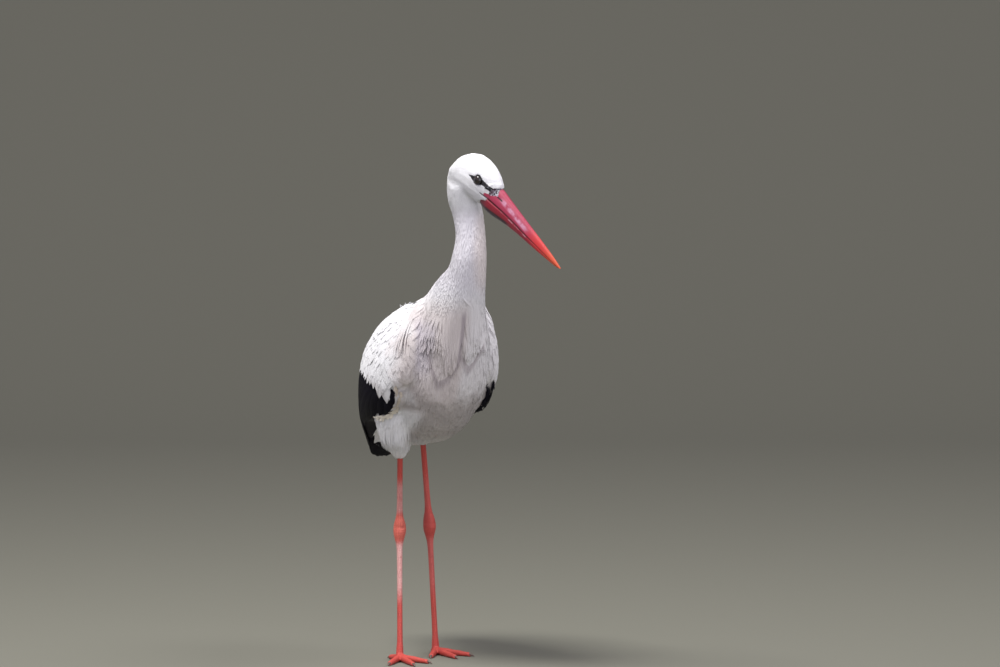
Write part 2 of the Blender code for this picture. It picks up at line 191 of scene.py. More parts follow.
def join_meshes(name, meshes, weld=None):
    """Several meshes in one; vertices closer than weld become one."""
    build = bmesh.new()
    for mesh in meshes:
        build.from_mesh(mesh)
    if weld:
        bmesh.ops.remove_doubles(build, verts=build.verts, dist=weld)
    mesh = bpy.data.meshes.new(name)
    build.to_mesh(mesh)
    build.free()
    return mesh


def face_outward(mesh):
    build = bmesh.new()
    build.from_mesh(mesh)
    bmesh.ops.recalc_face_normals(build, faces=build.faces)
    build.to_mesh(mesh)
    build.free()


def modified(name, mesh, kind, **settings):
    """The mesh that one modifier makes of another."""
    thing = new_object(name, mesh)
    step = thing.modifiers.new(kind, kind)
    for key, value in settings.items():
        setattr(step, key, value)
    result = bpy.data.meshes.new_from_object(thing.evaluated_get(bpy.context.evaluated_depsgraph_get()))
    bpy.data.objects.remove(thing)
    return result


def voxel_mesh(name, meshes, voxel, rounds):
    """One closed, even mesh round several closed meshes."""
    source = join_meshes(name + "_source", meshes, WELD)
    result = modified(name + "_source", source, "REMESH", mode="VOXEL", voxel_size=voxel, adaptivity=0.0)
    result.name = name
    relax(result, rounds)
    result.shade_smooth()
    return result


def loft_mesh(name, rings):
    """A closed body through rings of equal counts (R, N, 3), closed by a fan at each end."""
    rings = np.asarray(rings, float)
    count, sides = rings.shape[:2]
    index = np.arange(count * sides).reshape(count, sides)
    across = np.roll(index, -1, axis=1)
    quads = np.stack([index[:-1], across[:-1], across[1:], index[1:]], -1).reshape(-1, 4)
    first, last = count * sides, count * sides + 1
    fans = np.concatenate([np.stack([across[0], index[0], np.full(sides, first)], -1),
                           np.stack([index[-1], across[-1], np.full(sides, last)], -1)])
    verts = np.vstack([rings.reshape(-1, 3), rings[0].mean(0), rings[-1].mean(0)])
    mesh = mesh_from_arrays(name, verts, [quads, fans])
    face_outward(mesh)
    mesh.shade_smooth()
    return mesh


# -------------------------------------------------------------- bare legs
def level_ring(middle, wide, deep, sides=20, keel=0.0):
    """A level section; keel sharpens its front and back."""
    turns = turns_of(sides)
    reach = 1 + keel * np.abs(np.sin(turns)) ** 3
    return np.stack([middle[0] + wide * np.cos(turns), middle[1] + deep * np.sin(turns) * reach,
                     np.full(sides, middle[2])], -1)


def leg_meshes(side):
    """Shank, hock, tarsus and four toes as overlapping closed bodies, to be made one."""
    top, hock, ankle = SHANK_TOP[side] + HOME, HOCK[side] + HOME, ANKLE[side] + HOME
    # height share of the bone, half depth, half width, forward shift
    shank = [(-0.16, .0048, .0046, 0), (0.0, .0047, .0044, 0), (0.40, .0048, .0044, 0),
             (0.72, .0052, .0047, 0),
             (0.85, .0068, .0058, .0002), (0.93, .0096, .0082, .0006), (1.0, .0112, .0096, .0006),
             (1.06, .0098, .0090, -.0004)]
    tarsus = [(-0.03, .0092, .0088, .0012), (0.02, .0112, .0099, .0008), (0.06, .0104, .0092, -.0004),
              (0.10, .0078, .0072, -.0010), (0.15, .0058, .0052, -.0006), (0.24, .0050, .0044, 0),
              (0.55, .0047, .0042, 0), (0.86, .0050, .0044, 0), (0.93, .0058, .0052, -.0004),
              (1.0, .0060, .0062, -.0008)]
    bodies = []
    for start, end, shape in ((top, hock, shank), (hock, ankle + Vector((0, 0, 0.008)), tarsus)):
        rings = []
        for share, deep, wide, forward in spline(shape, 4):
            at = start.lerp(end, share) - Vector((0, forward, 0))
            rings.append(level_ring(at, wide, deep, keel=0.06))
        bodies.append(loft_mesh("leg", rings))
    for angle, length, phalanges in TOES.values():
        bodies.append(toe_mesh(side, angle, length, phalanges))
    for first, second in (("inner", "middle"), ("middle", "outer")):
        bodies.append(web_mesh(side, TOES[first], TOES[second]))
    return bodies


def toe_axes(side, angle):
    turn = math.radians(angle)
    aim = Vector((SIDES[side] * math.sin(turn), -math.cos(turn), 0.0))
    return aim, Vector((-aim.y, aim.x, 0.0))


def toe_mesh(side, angle, length, phalanges):
    """A toe: narrow between the knuckles, a flat-soled pad under each."""
    aim, across = toe_axes(side, angle)
    start = ANKLE[side] + HOME
    rings = []
    for share in np.linspace(-0.05, 1.0, 14 * phalanges + 8):
        beat = 0.5 - 0.5 * math.cos(2 * math.pi * phalanges * min(max(share, 0.0), 1.0) + math.pi)
        fade = 1 - max(0.0, (share - 0.93) / 0.07) ** 2 * 0.75
        top = (0.0122 - 0.0052 * max(share, 0)) * (0.94 + 0.05 * beat) * fade
        half = (0.0057 - 0.0016 * max(share, 0)) * (0.88 + 0.12 * beat) * fade
        middle = np.array(start + aim * (share * length))
        turns = turns_of(16)
        side_way = np.outer(np.cos(turns) * half, np.array(across))
        height = np.maximum(top * 0.46 + np.sin(turns) * top * 0.54, 0.00035 - 0.0004 * beat)
        rings.append(middle + side_way + np.outer(height, (0, 0, 1.0)))
    return loft_mesh("toe", rings)


def web_mesh(side, first, second):
    """The short web between two front toes."""
    start = ANKLE[side] + HOME
    one, _ = toe_axes(side, first[0])
    two, _ = toe_axes(side, second[0])
    rings = []
    for share in np.linspace(0.0, 1.0, 9):
        way = one.lerp(two, share).normalized()
        reach = 0.017 + 0.011 * abs(2 * share - 1) ** 1.6
        rings.append([np.array(start + way * reach * k + Vector((0, 0, z)))
                      for k, z in ((0.15, 0.0012), (0.6, 0.0010), (1.0, 0.0012), (1.04, 0.0024),
                                   (1.0, 0.0034),
                                   (0.6, 0.0044), (0.15, 0.0062))])
    return loft_mesh("web", rings)


# ---------------------------------------------------------- outline and skin
def coat_depth(points):
    """How far the skin lies inside the plumage's outline at each point."""
    _, y, height = (points - np.array(HOME)).T
    body = COAT_NECK + (COAT_BODY - COAT_NECK) * (1 - smoothstep(0.56, 0.64, height))
    thin = np.maximum(smoothstep(0.05, 0.11, y) * (1 - smoothstep(0.40, 0.47, height)),
                      1 - smoothstep(0.305, 0.350, height))
    return body * (1 - thin) + 0.0012 * thin + 0.0020 * smoothstep(0.735, 0.750, height)


def pushed(mesh, amounts):
    co, _ = mesh_arrays(mesh)
    co += vertex_normals(mesh) * amounts.reshape(-1, 1)
    move_to(mesh, co)


def united(first, second):
    """Exact union of two closed meshes."""
    two = new_object("two", second)
    mesh = modified("one", first, "BOOLEAN", operation="UNION", object=two, solver="EXACT")
    bpy.data.objects.remove(two)
    return mesh


nodes = frame["nodes"]
body_outline = voxel_mesh("body_outline", [nodes[n].data for n in FEATHERED + HEADED], BODY_VOXEL, 10)
head_outline = voxel_mesh("head_outline", [nodes[n].data for n in HEADED], HEAD_VOXEL, 4)


def tucked(mesh):
    """Draw the neck's top end in under the back of the head."""
    co, _ = mesh_arrays(mesh)
    rise = in_head(co)[1]
    top = smoothstep(-0.046, -0.026, rise) * (co[:, 2] > HOME.z + 0.70)
    pushed(mesh, -0.0040 * top)


def eased(mesh):
    """Smooth the step between the back of the head and the neck's top end."""
    co, _ = mesh_arrays(mesh)
    ahead, rise, _ = in_head(co)
    share = smoothstep(-0.064, -0.050, rise) * smoothstep(-0.006, -0.014, rise) * smoothstep(-0.038, -0.052,
                                                                                             ahead)
    soft = mesh.copy()
    relax(soft, 70)
    co += (mesh_arrays(soft)[0] - co) * share[:, None]
    move_to(mesh, co)


tucked(body_outline)
eased(head_outline)


def tree_of(mesh):
    co, _ = mesh_arrays(mesh)
    return BVHTree.FromPolygons([tuple(c) for c in co], [tuple(p.vertices) for p in mesh.polygons])


BODY_TREE = tree_of(body_outline)
HEAD_TREE = tree_of(head_outline)


def part_tree(names):
    """A tree of several solids' faces, and the name of the solid behind each face."""
    co, faces, names_of = [], [], []
    for name in names:
        mesh = nodes[name].data
        start = len(co)
        co += [tuple(v.co) for v in mesh.vertices]
        faces += [tuple(i + start for i in p.vertices) for p in mesh.polygons]
        names_of += [name.split("_")[0]] * len(mesh.polygons)
    return BVHTree.FromPolygons(co, faces), np.array(names_of)


PART_TREE, PART_OF_FACE = part_tree(FEATHERED + HEADED)


def part_at(points):
    """First word of the name of the solid nearest to each point.

    The near wing's black feathers count as the trunk where the breast hides them.
    """
    words = PART_OF_FACE[[PART_TREE.find_nearest(point)[2] for point in points]]
    x, y, _ = stance(np.asarray(points))
    return np.where((words == "flight") & (x < 0) & (y < BLACK_FRONT), "trunk", words)


def narrowed(points, keep, parts, wanted=False):
    """A mask without (or only with) the points whose nearest solid is one of the parts."""
    keep = keep.copy()
    if keep.any():
        keep[keep] = np.isin(part_at(points[keep]), parts) == wanted
    return keep


def slimmed(mesh):
    """Narrow the foot of the near thigh to the bare shank, below the trousers' fringe."""
    co, _ = mesh_arrays(mesh)
    x, y, z = stance(co)
    foot, lean = SHANK_TOP["right"], Vector((-0.0155, -0.0160, 0.0))
    share = np.interp(z, [0.3185, 0.3255, 0.339, 0.359], [0.0, 0.12, 0.35, 0.72])
    off = np.stack([x - foot.x - lean.x * share, y - foot.y - lean.y * share], -1)
    reach = np.linalg.norm(off, axis=1)
    near = (reach < 0.045) & between(z, 0.310, 0.345)
    wide = 0.0056 + 0.030 * smoothstep(0.329, 0.347, z)
    scale = np.where(near, np.minimum(1.0, wide / np.maximum(reach, 1e-6)), 1.0)
    co[:, :2] += off * (scale - 1.0)[:, None]
    move_to(mesh, co)


def build_skin():
    """One closed skin: feathered body, finer head, and the bare legs."""
    body = body_outline.copy()
    co, _ = mesh_arrays(body)
    pushed(body, -coat_depth(co))
    slimmed(body)
    relax(body, 3)
    head = head_outline.copy()
    co, _ = mesh_arrays(head)
    rise = in_head(co)[1]
    pushed(head, -(COAT_HEAD + (COAT_NECK - COAT_HEAD) * smoothstep(-0.025, -0.060, rise)))
    legs = [voxel_mesh("leg_" + side, leg_meshes(side), LEG_VOXEL, 2) for side in SIDES]
    for leg in legs:
        co, _ = mesh_arrays(leg)
        co[:, 2] = np.maximum(co[:, 2], 0.0)
        move_to(leg, co)
    skin = united(body, head)
    for leg in legs:
        skin = united(skin, leg)
    skin.name = "skin"
    co, _ = mesh_arrays(skin)
    low = (co[:, 2] > 0.25) & (co[:, 2] < 0.55)
    black = narrowed(co, low, ["flight"], True) | tip_area(co)
    write_value(skin, "flight", black.astype(float))
    return skin


# ----------------------------------------------------------------- plumage
# A section is a closed loop of (across, up) points, from left over the ridge
# to right and back underneath; tufts are spindles, vanes are shallow roofs.
SPINDLE = np.array([(-1.0, 0.0), (0.0, 1.0), (1.0, 0.0)])
VANE = np.array([(-1.0, -0.55), (-0.5, 0.35), (0.0, 0.75), (0.5, 0.35), (1.0, -0.55), (0.0, 0.15)])
PATCH = 0.003               # width of a feather's patch on the bake map
SOFTNESS = 0.72             # how far feathers shade like the body's own surface

# Middle line of neck and body for the unwrap, from the nape to the tail.
SPINE = np.array([(-0.012, -0.255, 0.790), (-0.002, -0.245, 0.730), (0, -0.252, 0.680), (0, -0.242, 0.630),
                  (0, -0.205, 0.580), (0, -0.140, 0.510), (0, -0.060, 0.450), (0, 0.030, 0.420),
                  (0, 0.110, 0.380), (0, 0.165, 0.330)]) + np.array(HOME)


def unwrap_body(points):
    """(share along the spine, turn round it) of each point, both 0 to 1."""
    best = np.full(len(points), np.inf)
    along, turn = np.zeros(len(points)), np.zeros(len(points))
    for k, (a, b) in enumerate(zip(SPINE, SPINE[1:])):
        t = np.clip((points - a) @ (b - a) / ((b - a) @ (b - a)), 0, 1)
        off = points - (a + t[:, None] * (b - a))
        near = np.linalg.norm(off, axis=1)
        ahead = unit(b - a)
        up = np.cross((1.0, 0, 0), ahead)
        closer = near < best
        best = np.where(closer, near, best)
        along = np.where(closer, (k + t) / (len(SPINE) - 1), along)
        turn = np.where(closer, 0.5 + np.arctan2(off[:, 0], off @ up) / (2 * math.pi), turn)
    return np.stack([turn, along], -1)


def unwrap_head(points):
    ahead, rise, left = in_head(points)
    return np.stack([0.5 + np.arctan2(left, rise + 0.002) / (2 * math.pi), (ahead + 0.11) / 0.15], -1)


def unwrap_post(points):
    """Turn round an upright axis, and height, for the feathered thighs."""
    middle = points.mean(0)
    turn = 0.5 + np.arctan2(points[:, 0] - middle[0], points[:, 1] - middle[1]) / (2 * math.pi)
    low, high = points[:, 2].min(), points[:, 2].max()
    return np.stack([turn, (points[:, 2] - low) / max(high - low, 1e-6)], -1)


def spread_over(values):
    """Scale unwrap values of one piece to fill the map inside a margin."""
    low, high = values.min(0), values.max(0)
    return 0.01 + 0.97 * (values - low) / np.maximum(high - low, 1e-6)


def surface_points(mesh, inside, spacing, seed):
    """Random points of a mesh's faces where inside() holds, at least `spacing` apart."""
    rng = np.random.default_rng(seed)
    co, _ = mesh_arrays(mesh)
    corners = np.array([p.vertices[:] for p in mesh.polygons if len(p.vertices) == 4])
    quad = co[corners]
    middle = quad.mean(1)
    quad = quad[inside(middle)]
    area = np.linalg.norm(np.cross(quad[:, 2] - quad[:, 0], quad[:, 3] - quad[:, 1]), axis=1) / 2
    wanted = int(area.sum() / spacing ** 2 * 3.2)
    picked = quad[rng.choice(len(quad), wanted, p=area / area.sum())]
    s, t = rng.random((2, wanted, 1))
    points = ((1 - s) * ((1 - t) * picked[:, 0] + t * picked[:, 3]) + s
              * ((1 - t) * picked[:, 1] + t * picked[:, 2]))
    points = points[inside(points)]
    cells, kept = {}, []
    offsets = [(i, j, k) for i in (-1, 0, 1) for j in (-1, 0, 1) for k in (-1, 0, 1)]
    keys = np.floor(points / spacing).astype(int)
    limit = spacing ** 2
    for n, (point, key) in enumerate(zip(points.tolist(), keys.tolist())):
        clear = True
        for i, j, k in offsets:
            for other in cells.get((key[0] + i, key[1] + j, key[2] + k), ()):
                if (other[0] - point[0]) ** 2 + (other[1] - point[1]) ** 2 + (other[2]
                                                                              - point[2]) ** 2 < limit:
                    clear = False
                    break
            if not clear:
                break
        if clear:
            cells.setdefault(tuple(key), []).append(point)
            kept.append(n)
    return points[kept], rng


def follow(roots, lengths, lie, tree, steps, lean, loose=1.0):
    """Lines that leave the roots along the lie of the coat and hug the outline.

    Past the share `loose` of its length a feather hangs free of the body.
    """
    path = np.zeros((len(roots), steps, 3))
    normal = np.zeros_like(path)
    spot, way = roots.copy(), None
    for k in range(steps):
        if k / (steps - 1) > loose:
            path[:, k], normal[:, k] = spot, normal[:, k - 1]
            want = unit(lie(spot))
            way = unit(0.6 * way + 0.4 * want)
            spot = spot + way * (lengths / (steps - 1))[:, None]
            continue
        for n, point in enumerate(spot):
            hit, face_normal, _, _ = tree.find_nearest(point)
            path[n, k] = hit
            normal[n, k] = face_normal
        want = lie(path[:, k])
        up = normal[:, k]
        want = unit(want - (want * up).sum(-1, keepdims=True) * up)
        want = unit(want + lean[:, None] * np.cross(up, want))
        way = want if way is None else unit(0.45 * way + 0.55 * want)
        spot = path[:, k] + way * (lengths / (steps - 1))[:, None]
    normal[:, 1:-1] = unit(normal[:, :-2] + normal[:, 1:-1] + normal[:, 2:])
    return path, normal


def shape_feathers(name, path, normal, half_width, taper, thickness, rise, section, unwrap, shade, droop=0.0):
    """Join one closed feather along each path into a mesh with bake map and attributes.

    taper and rise have one value for each path station; rise may be (N, K).
    """
    count, steps, _ = path.shape
    ahead = np.gradient(path, axis=1)
    side = unit(np.cross(normal, unit(ahead)))
    rise = np.broadcast_to(np.asarray(rise, float), (count, steps))
    rings = steps - 2
    sides = len(section)
    lifted = path + normal * rise[:, :, None]
    wide = half_width[:, None] * np.asarray(taper)[None, :]
    thick = np.broadcast_to(np.asarray(thickness, float), (count,))[:, None] * np.asarray(taper)[None, :]
    bow = (droop * wide)[:, 1:-1, None, None] * (section[:, 0] ** 2)[None, None, :, None]
    body = (lifted[:, 1:-1, None, :]
            + side[:, 1:-1, None, :] * wide[:, 1:-1, None, None] * section[None, None, :, :1]
            + normal[:, 1:-1, None, :] * (thick[:, 1:-1, None, None] * section[None, None, :, 1:] - bow))
    verts = np.concatenate([lifted[:, :1], body.reshape(count, rings * sides, 3), lifted[:, -1:]], axis=1)
    per = rings * sides + 2
    ring = 1 + np.arange(rings * sides).reshape(rings, sides)
    beside = np.roll(ring, -1, axis=1)
    quads = np.stack([ring[:-1], ring[1:], beside[1:], beside[:-1]], -1).reshape(-1, 4)
    tips = np.concatenate([np.stack([np.zeros(sides, int), ring[0], beside[0]], -1),
                           np.stack([ring[-1], np.full(sides, per - 1), beside[-1]], -1)])
    base = (np.arange(count) * per)[:, None, None]
    all_quads = (quads[None] + base).reshape(-1, 4)
    all_tips = (tips[None] + base).reshape(-1, 3)
    mesh = mesh_from_arrays(name, verts.reshape(-1, 3), [all_quads, all_tips])

    share = np.linspace(0, 1, steps)
    along = np.concatenate([share[:1], np.repeat(share[1:-1], sides), share[-1:]])
    across = np.concatenate([[0.0], np.tile(section[:, 0], rings), [0.0]])
    root_uv = spread_over(unwrap(path[:, 0]))
    uv = root_uv[:, None, :] + np.stack([across * 0.5 * PATCH, along * PATCH], -1)[None]
    write_map(mesh, "OFBake", uv.reshape(-1, 2))
    write_map(mesh, "vane", np.tile(np.stack([across, along], -1), (count, 1)))
    write_value(mesh, "along", np.tile(along, count))
    write_value(mesh, "shade", np.repeat(shade, per))
    surface = np.concatenate([normal[:, :1], np.repeat(normal[:, 1:-1], sides, axis=1), normal[:, -1:]],
                             axis=1)
    soften(mesh, surface.reshape(-1, 3))
    return mesh


def soften(mesh, surface):
    """Shade feathers like the body under them; their undersides face the other way."""
    corner = np.empty(len(mesh.loops), np.int32)
    mesh.loops.foreach_get("vertex_index", corner)
    sizes = np.empty(len(mesh.polygons), np.int32)
    mesh.polygons.foreach_get("loop_total", sizes)
    facing = np.empty(len(mesh.polygons) * 3, np.float32)
    mesh.polygons.foreach_get("normal", facing)
    facing = np.repeat(facing.reshape(-1, 3), sizes, axis=0)
    way = surface[corner]
    way = way * np.where((way * facing).sum(-1) < -0.05, -1.0, 1.0)[:, None]
    mixed = unit(way * SOFTNESS + facing * (1 - SOFTNESS) * 0.5 + vertex_normals(mesh)[corner]
                 * (1 - SOFTNESS) * 0.5)
    mesh.normals_split_custom_set(mixed.tolist())


def write_map(mesh, name, per_vertex):
    layer = mesh.uv_layers.new(name=name)
    corner = np.empty(len(mesh.loops), np.int32)
    mesh.loops.foreach_get("vertex_index", corner)
    layer.uv.foreach_set("vector", per_vertex[corner].astype(np.float32).ravel())


def write_value(mesh, name, values):
    mesh.attributes.new(name, "FLOAT", "POINT").data.foreach_set("value", values.astype(np.float32))


# ------------------------------------------------------------ lie of the coat
def constant(vector):
    aim = unit(np.array(vector, float))
    return lambda points: np.broadcast_to(aim, points.shape)


def stance(points):
    """Frame points as stance columns x, y, z."""
    return (points - np.array(HOME)).T


def lie_body(points):
    """Down the neck, over the shoulders, then back along trunk and wings."""
    x, y, z = stance(points)
    lower = 1 - smoothstep(0.55, 0.67, z)[:, None]
    back = smoothstep(-0.16, -0.06, y)[:, None]
    neck = np.stack([0.0 * x, 0.10 + 0 * x, -1 + 0 * x], -1)
    front = np.stack([2.6 * x * smoothstep(0.02, 0.07, np.abs(x)), 0.20 + 0 * x, -1 + 0 * x], -1)
    rear = np.stack([0.4 * x, 0.85 + 0 * x, -0.55 + 0 * x], -1)
    return unit(neck * (1 - lower) + lower * (front * (1 - back) + rear * back))


def lie_belly(points):
    """Down and back under the trunk, drawn in toward the legs."""
    x, y, _ = stance(points)
    return unit(np.stack([-0.6 * x, 0.62 + 0 * x, -0.75 + 0.25 * smoothstep(-0.02, 0.1, y)], -1))


def lie_coverts(points):
    """Down over the folded wing, slanting more to the rear behind."""
    x, y, _ = stance(points)
    return unit(np.stack([0 * x, 0.16 + 0.42 * smoothstep(-0.10, 0.08, y), -0.92 + 0 * x], -1))


def lie_lobes(points):
    """Fanning from the groove at the neck, then drawn to the point of each plume."""
    x, _, z = stance(points)
    middle = lobe_middle(x)
    fan = np.clip(9.0 * (x - GROOVE), -0.30, 0.30)
    gather = np.clip(-8.0 * (x - middle), -0.20, 0.20)
    upper = smoothstep(0.535, 0.585, z)
    return unit(np.stack([fan * upper + gather * (1 - upper), 0.12 + 0 * x, -1 + 0 * x], -1))


def lie_tips(points):
    """The long wing tips point back and down."""
    return constant((0.0, 0.72, -0.69))(points)


def lie_thigh(side):
    """Down the thigh, drawn in a little toward the bare shank."""
    def lie(points):
        x, y, _ = stance(points)
        top = SHANK_TOP[side]
        return unit(np.stack([0.9 * (top.x - x), 0.9 * (top.y - y), 0 * x - 0.12], -1))
    return lie


def lie_head(points):
    """Back from the bill, round the eye, down the nape and throat."""
    ahead, rise, _ = in_head(points)
    back = -np.array(BILL_AIM)
    down = np.array((0, 0.10, -1.0))
    turn = np.maximum(smoothstep(-0.045, -0.085, ahead), 0.85 * smoothstep(-0.004, -0.026, rise)
                      * smoothstep(-0.004, -0.030, ahead))[:, None]
    return unit(back * (1 - turn) + down * turn)


# ----------------------------------------------------------------- regions
GROOVE = -0.0125            # where the hanging breast plumes part


def lobe_middle(x):
    """Across the breast, the middle of the lobe on each point's side of the groove."""
    return np.where(x < GROOVE, -0.030, 0.012)


def between(value, low, high):
    return (value > low) & (value < high)


def wing_line_height(y):
    """Height of the lower edge of the white coverts at each y."""
    return np.interp(y, *WING_LINE.T)


WING_LINE = np.array([(-0.132, 0.444), (-0.118, 0.428), (-0.103, 0.414), (-0.090, 0.428), (-0.060, 0.443),
                      (-0.016, 0.451), (0.050, 0.461), (0.115, 0.475), (0.200, 0.497)])
WING_TOP = np.array([(-0.14, 0.60), (-0.10, 0.615), (-0.02, 0.595), (0.06, 0.548), (0.12, 0.500),
                     (0.20, 0.460)])
BLACK_RIM = np.array([(-0.132, 0.443), (-0.126, 0.428), (-0.115, 0.415), (-0.101, 0.404), (-0.083, 0.396),
                      (-0.055, 0.389), (0.030, 0.372), (0.078, 0.366), (0.104, 0.346), (0.135, 0.322),
                      (0.165, 0.300), (0.205, 0.296)])
BLACK_FRONT = -0.125        # ahead of this the black feathers are hidden under the breast


def speckle(points):
    """A repeatable random number for each point."""
    return np.modf(np.abs(np.sin(points @ np.array([1271.0, 3117.0, 747.0]))) * 437.58)[0]


def neck_area(points):
    _, y, z = stance(points)
    rise = in_head(points)[1]
    under_head = (z > 0.70) & (rise > -0.020 - 0.016 * speckle(points))
    return (z > 0.575) & (y < -0.13) & ~under_head


def breast_area(points):
    _, y, z = stance(points)
    return narrowed(points, between(z, 0.405, 0.60) & (y < -0.06) & ~back_area(points), ["wing", "flight"])


def lobe_area(points):
    """Roots of the long plumes that hang over the breast in two lobes."""
    x, y, z = stance(points)
    side = x - GROOVE
    reach = np.where(side < 0, 0.018, 0.020) + 0.36 * (0.612 - z)
    return between(z, 0.528, 0.612) & (y < -0.16) & (np.abs(side) < reach) & (np.abs(side) > 0.0015)


LOBE_TIPS = np.array([(-0.054, 0.520), (-0.046, 0.486), (-0.036, 0.458), (-0.028, 0.462), (-0.019, 0.472),
                      (-0.013, 0.492), (-0.009, 0.505), (0.000, 0.490), (0.006, 0.483), (0.014, 0.490),
                      (0.022, 0.508), (0.030, 0.520), (0.040, 0.500)])


def lobe_length(points, chance):
    x, _, z = stance(points)
    middle = lobe_middle(x)
    tip_x = middle + 0.85 * (x + 0.5 * (x - GROOVE) - middle)
    return np.clip(z - np.interp(tip_x, *LOBE_TIPS.T) - 0.026 * chance ** 2, 0.028, 0.130)


def belly_area(points):
    _, y, z = stance(points)
    return narrowed(points, (z < 0.46) & (y < 0.10), ["wing", "flight"])


def back_area(points):
    _, y, z = stance(points)
    top = np.interp(y, [-0.20, -0.12, -0.04, 0.04, 0.12, 0.17], [0.60, 0.565, 0.530, 0.490, 0.445, 0.41])
    return (z > top) & (y > -0.20) & (z < 0.63)


# The bare black patch round the eye: ahead, its middle's rise, its half height.
EYE_PATCH = np.array([(-0.0486, 0.0124, 0.0), (-0.0403, 0.0150, 0.0016), (-0.0360, 0.0158, 0.0042),
                      (-0.0316, 0.0166, 0.0063), (-0.0250, 0.0172, 0.0072), (-0.0200, 0.0180, 0.0060),
                      (-0.0150, 0.0187, 0.0044), (-0.0056, 0.0177, 0.0038), (0.0060, 0.0180, 0.0044)])
# Where the face feathers end at the bill: rise, ahead.
FACE_EDGE = np.array([(-0.0230, -0.0130), (-0.0150, -0.0075), (-0.0080, -0.0025), (-0.0012, 0.0020),
                      (0.0008, -0.0010), (0.0014, -0.0150), (0.0024, -0.0150), (0.0034, -0.0085),
                      (0.0080, -0.0075), (0.0110, -0.0060), (0.0130, -0.0090), (0.0145, 0.0030), (0.0240,
                                                                                                  0.0065),
                      (0.0300, 0.0100)])


def dark_patch(points, margin=0.0):
    """Above zero inside the bare black patch round the eye and down to the bill."""
    ahead, rise, _ = in_head(points)
    middle, half = (np.interp(ahead, EYE_PATCH[:, 0], EYE_PATCH[:, k]) for k in (1, 2))
    return (half - margin - np.abs(rise - middle)) * 1000


def head_area(points):
    ahead, rise, _ = in_head(points)
    fade = 0.026 * speckle(points + 1.0)
    low = (rise < -0.036 - fade) | (ahead < -0.086 - 0.5 * fade) & (rise < -0.012)
    return ~low & (ahead < np.interp(rise, *FACE_EDGE.T))


def face_area(points):
    return head_area(points) & (dark_patch(points, 0.0006) < 0)


def tip_area(points):
    """Where the tips of the folded wings' longest black feathers lie on the tail."""
    x, y, z = stance(points)
    low = 0.342 - 0.10 * np.clip(y - 0.10, 0.0, 1.0)
    return (y > 0.080) & between(z, 0.28, low) & (np.abs(x) < 0.05)


def tail_area(points):
    x, y, z = stance(points)
    return narrowed(points, (y > 0.060) & (z < 0.40) & (np.abs(x) < 0.06) & ~tip_area(points), ["flight"])


def thigh_area(side):
    def inside(points):
        x, y, z = stance(points)
        top = SHANK_TOP[side]
        near = np.hypot(x - 1.35 * top.x, y - top.y + 0.022) < 0.056
        return narrowed(points, between(z, top.z + 0.026, top.z + 0.085) & near & (x * top.x > 0),
                        ["wing", "flight"])
    return inside


# ---------------------------------------------------------------- materials
class Value:
    """A node tree's socket that takes arithmetic: each operator adds one math node."""

    def __init__(self, web, socket):
        self.web, self.socket = web, socket

    def __add__(self, other):
        return self.web.math("ADD", self, other)

    def __radd__(self, other):
        return self.web.math("ADD", other, self)

    def __sub__(self, other):
        return self.web.math("SUBTRACT", self, other)

    def __rsub__(self, other):
        return self.web.math("SUBTRACT", other, self)

    def __mul__(self, other):
        return self.web.math("MULTIPLY", self, other)

    def __truediv__(self, other):
        return self.web.math("DIVIDE", self, other)

    def __pow__(self, other):
        return self.web.math("POWER", self, other)

    def __abs__(self):
        return self.web.math("ABSOLUTE", self)


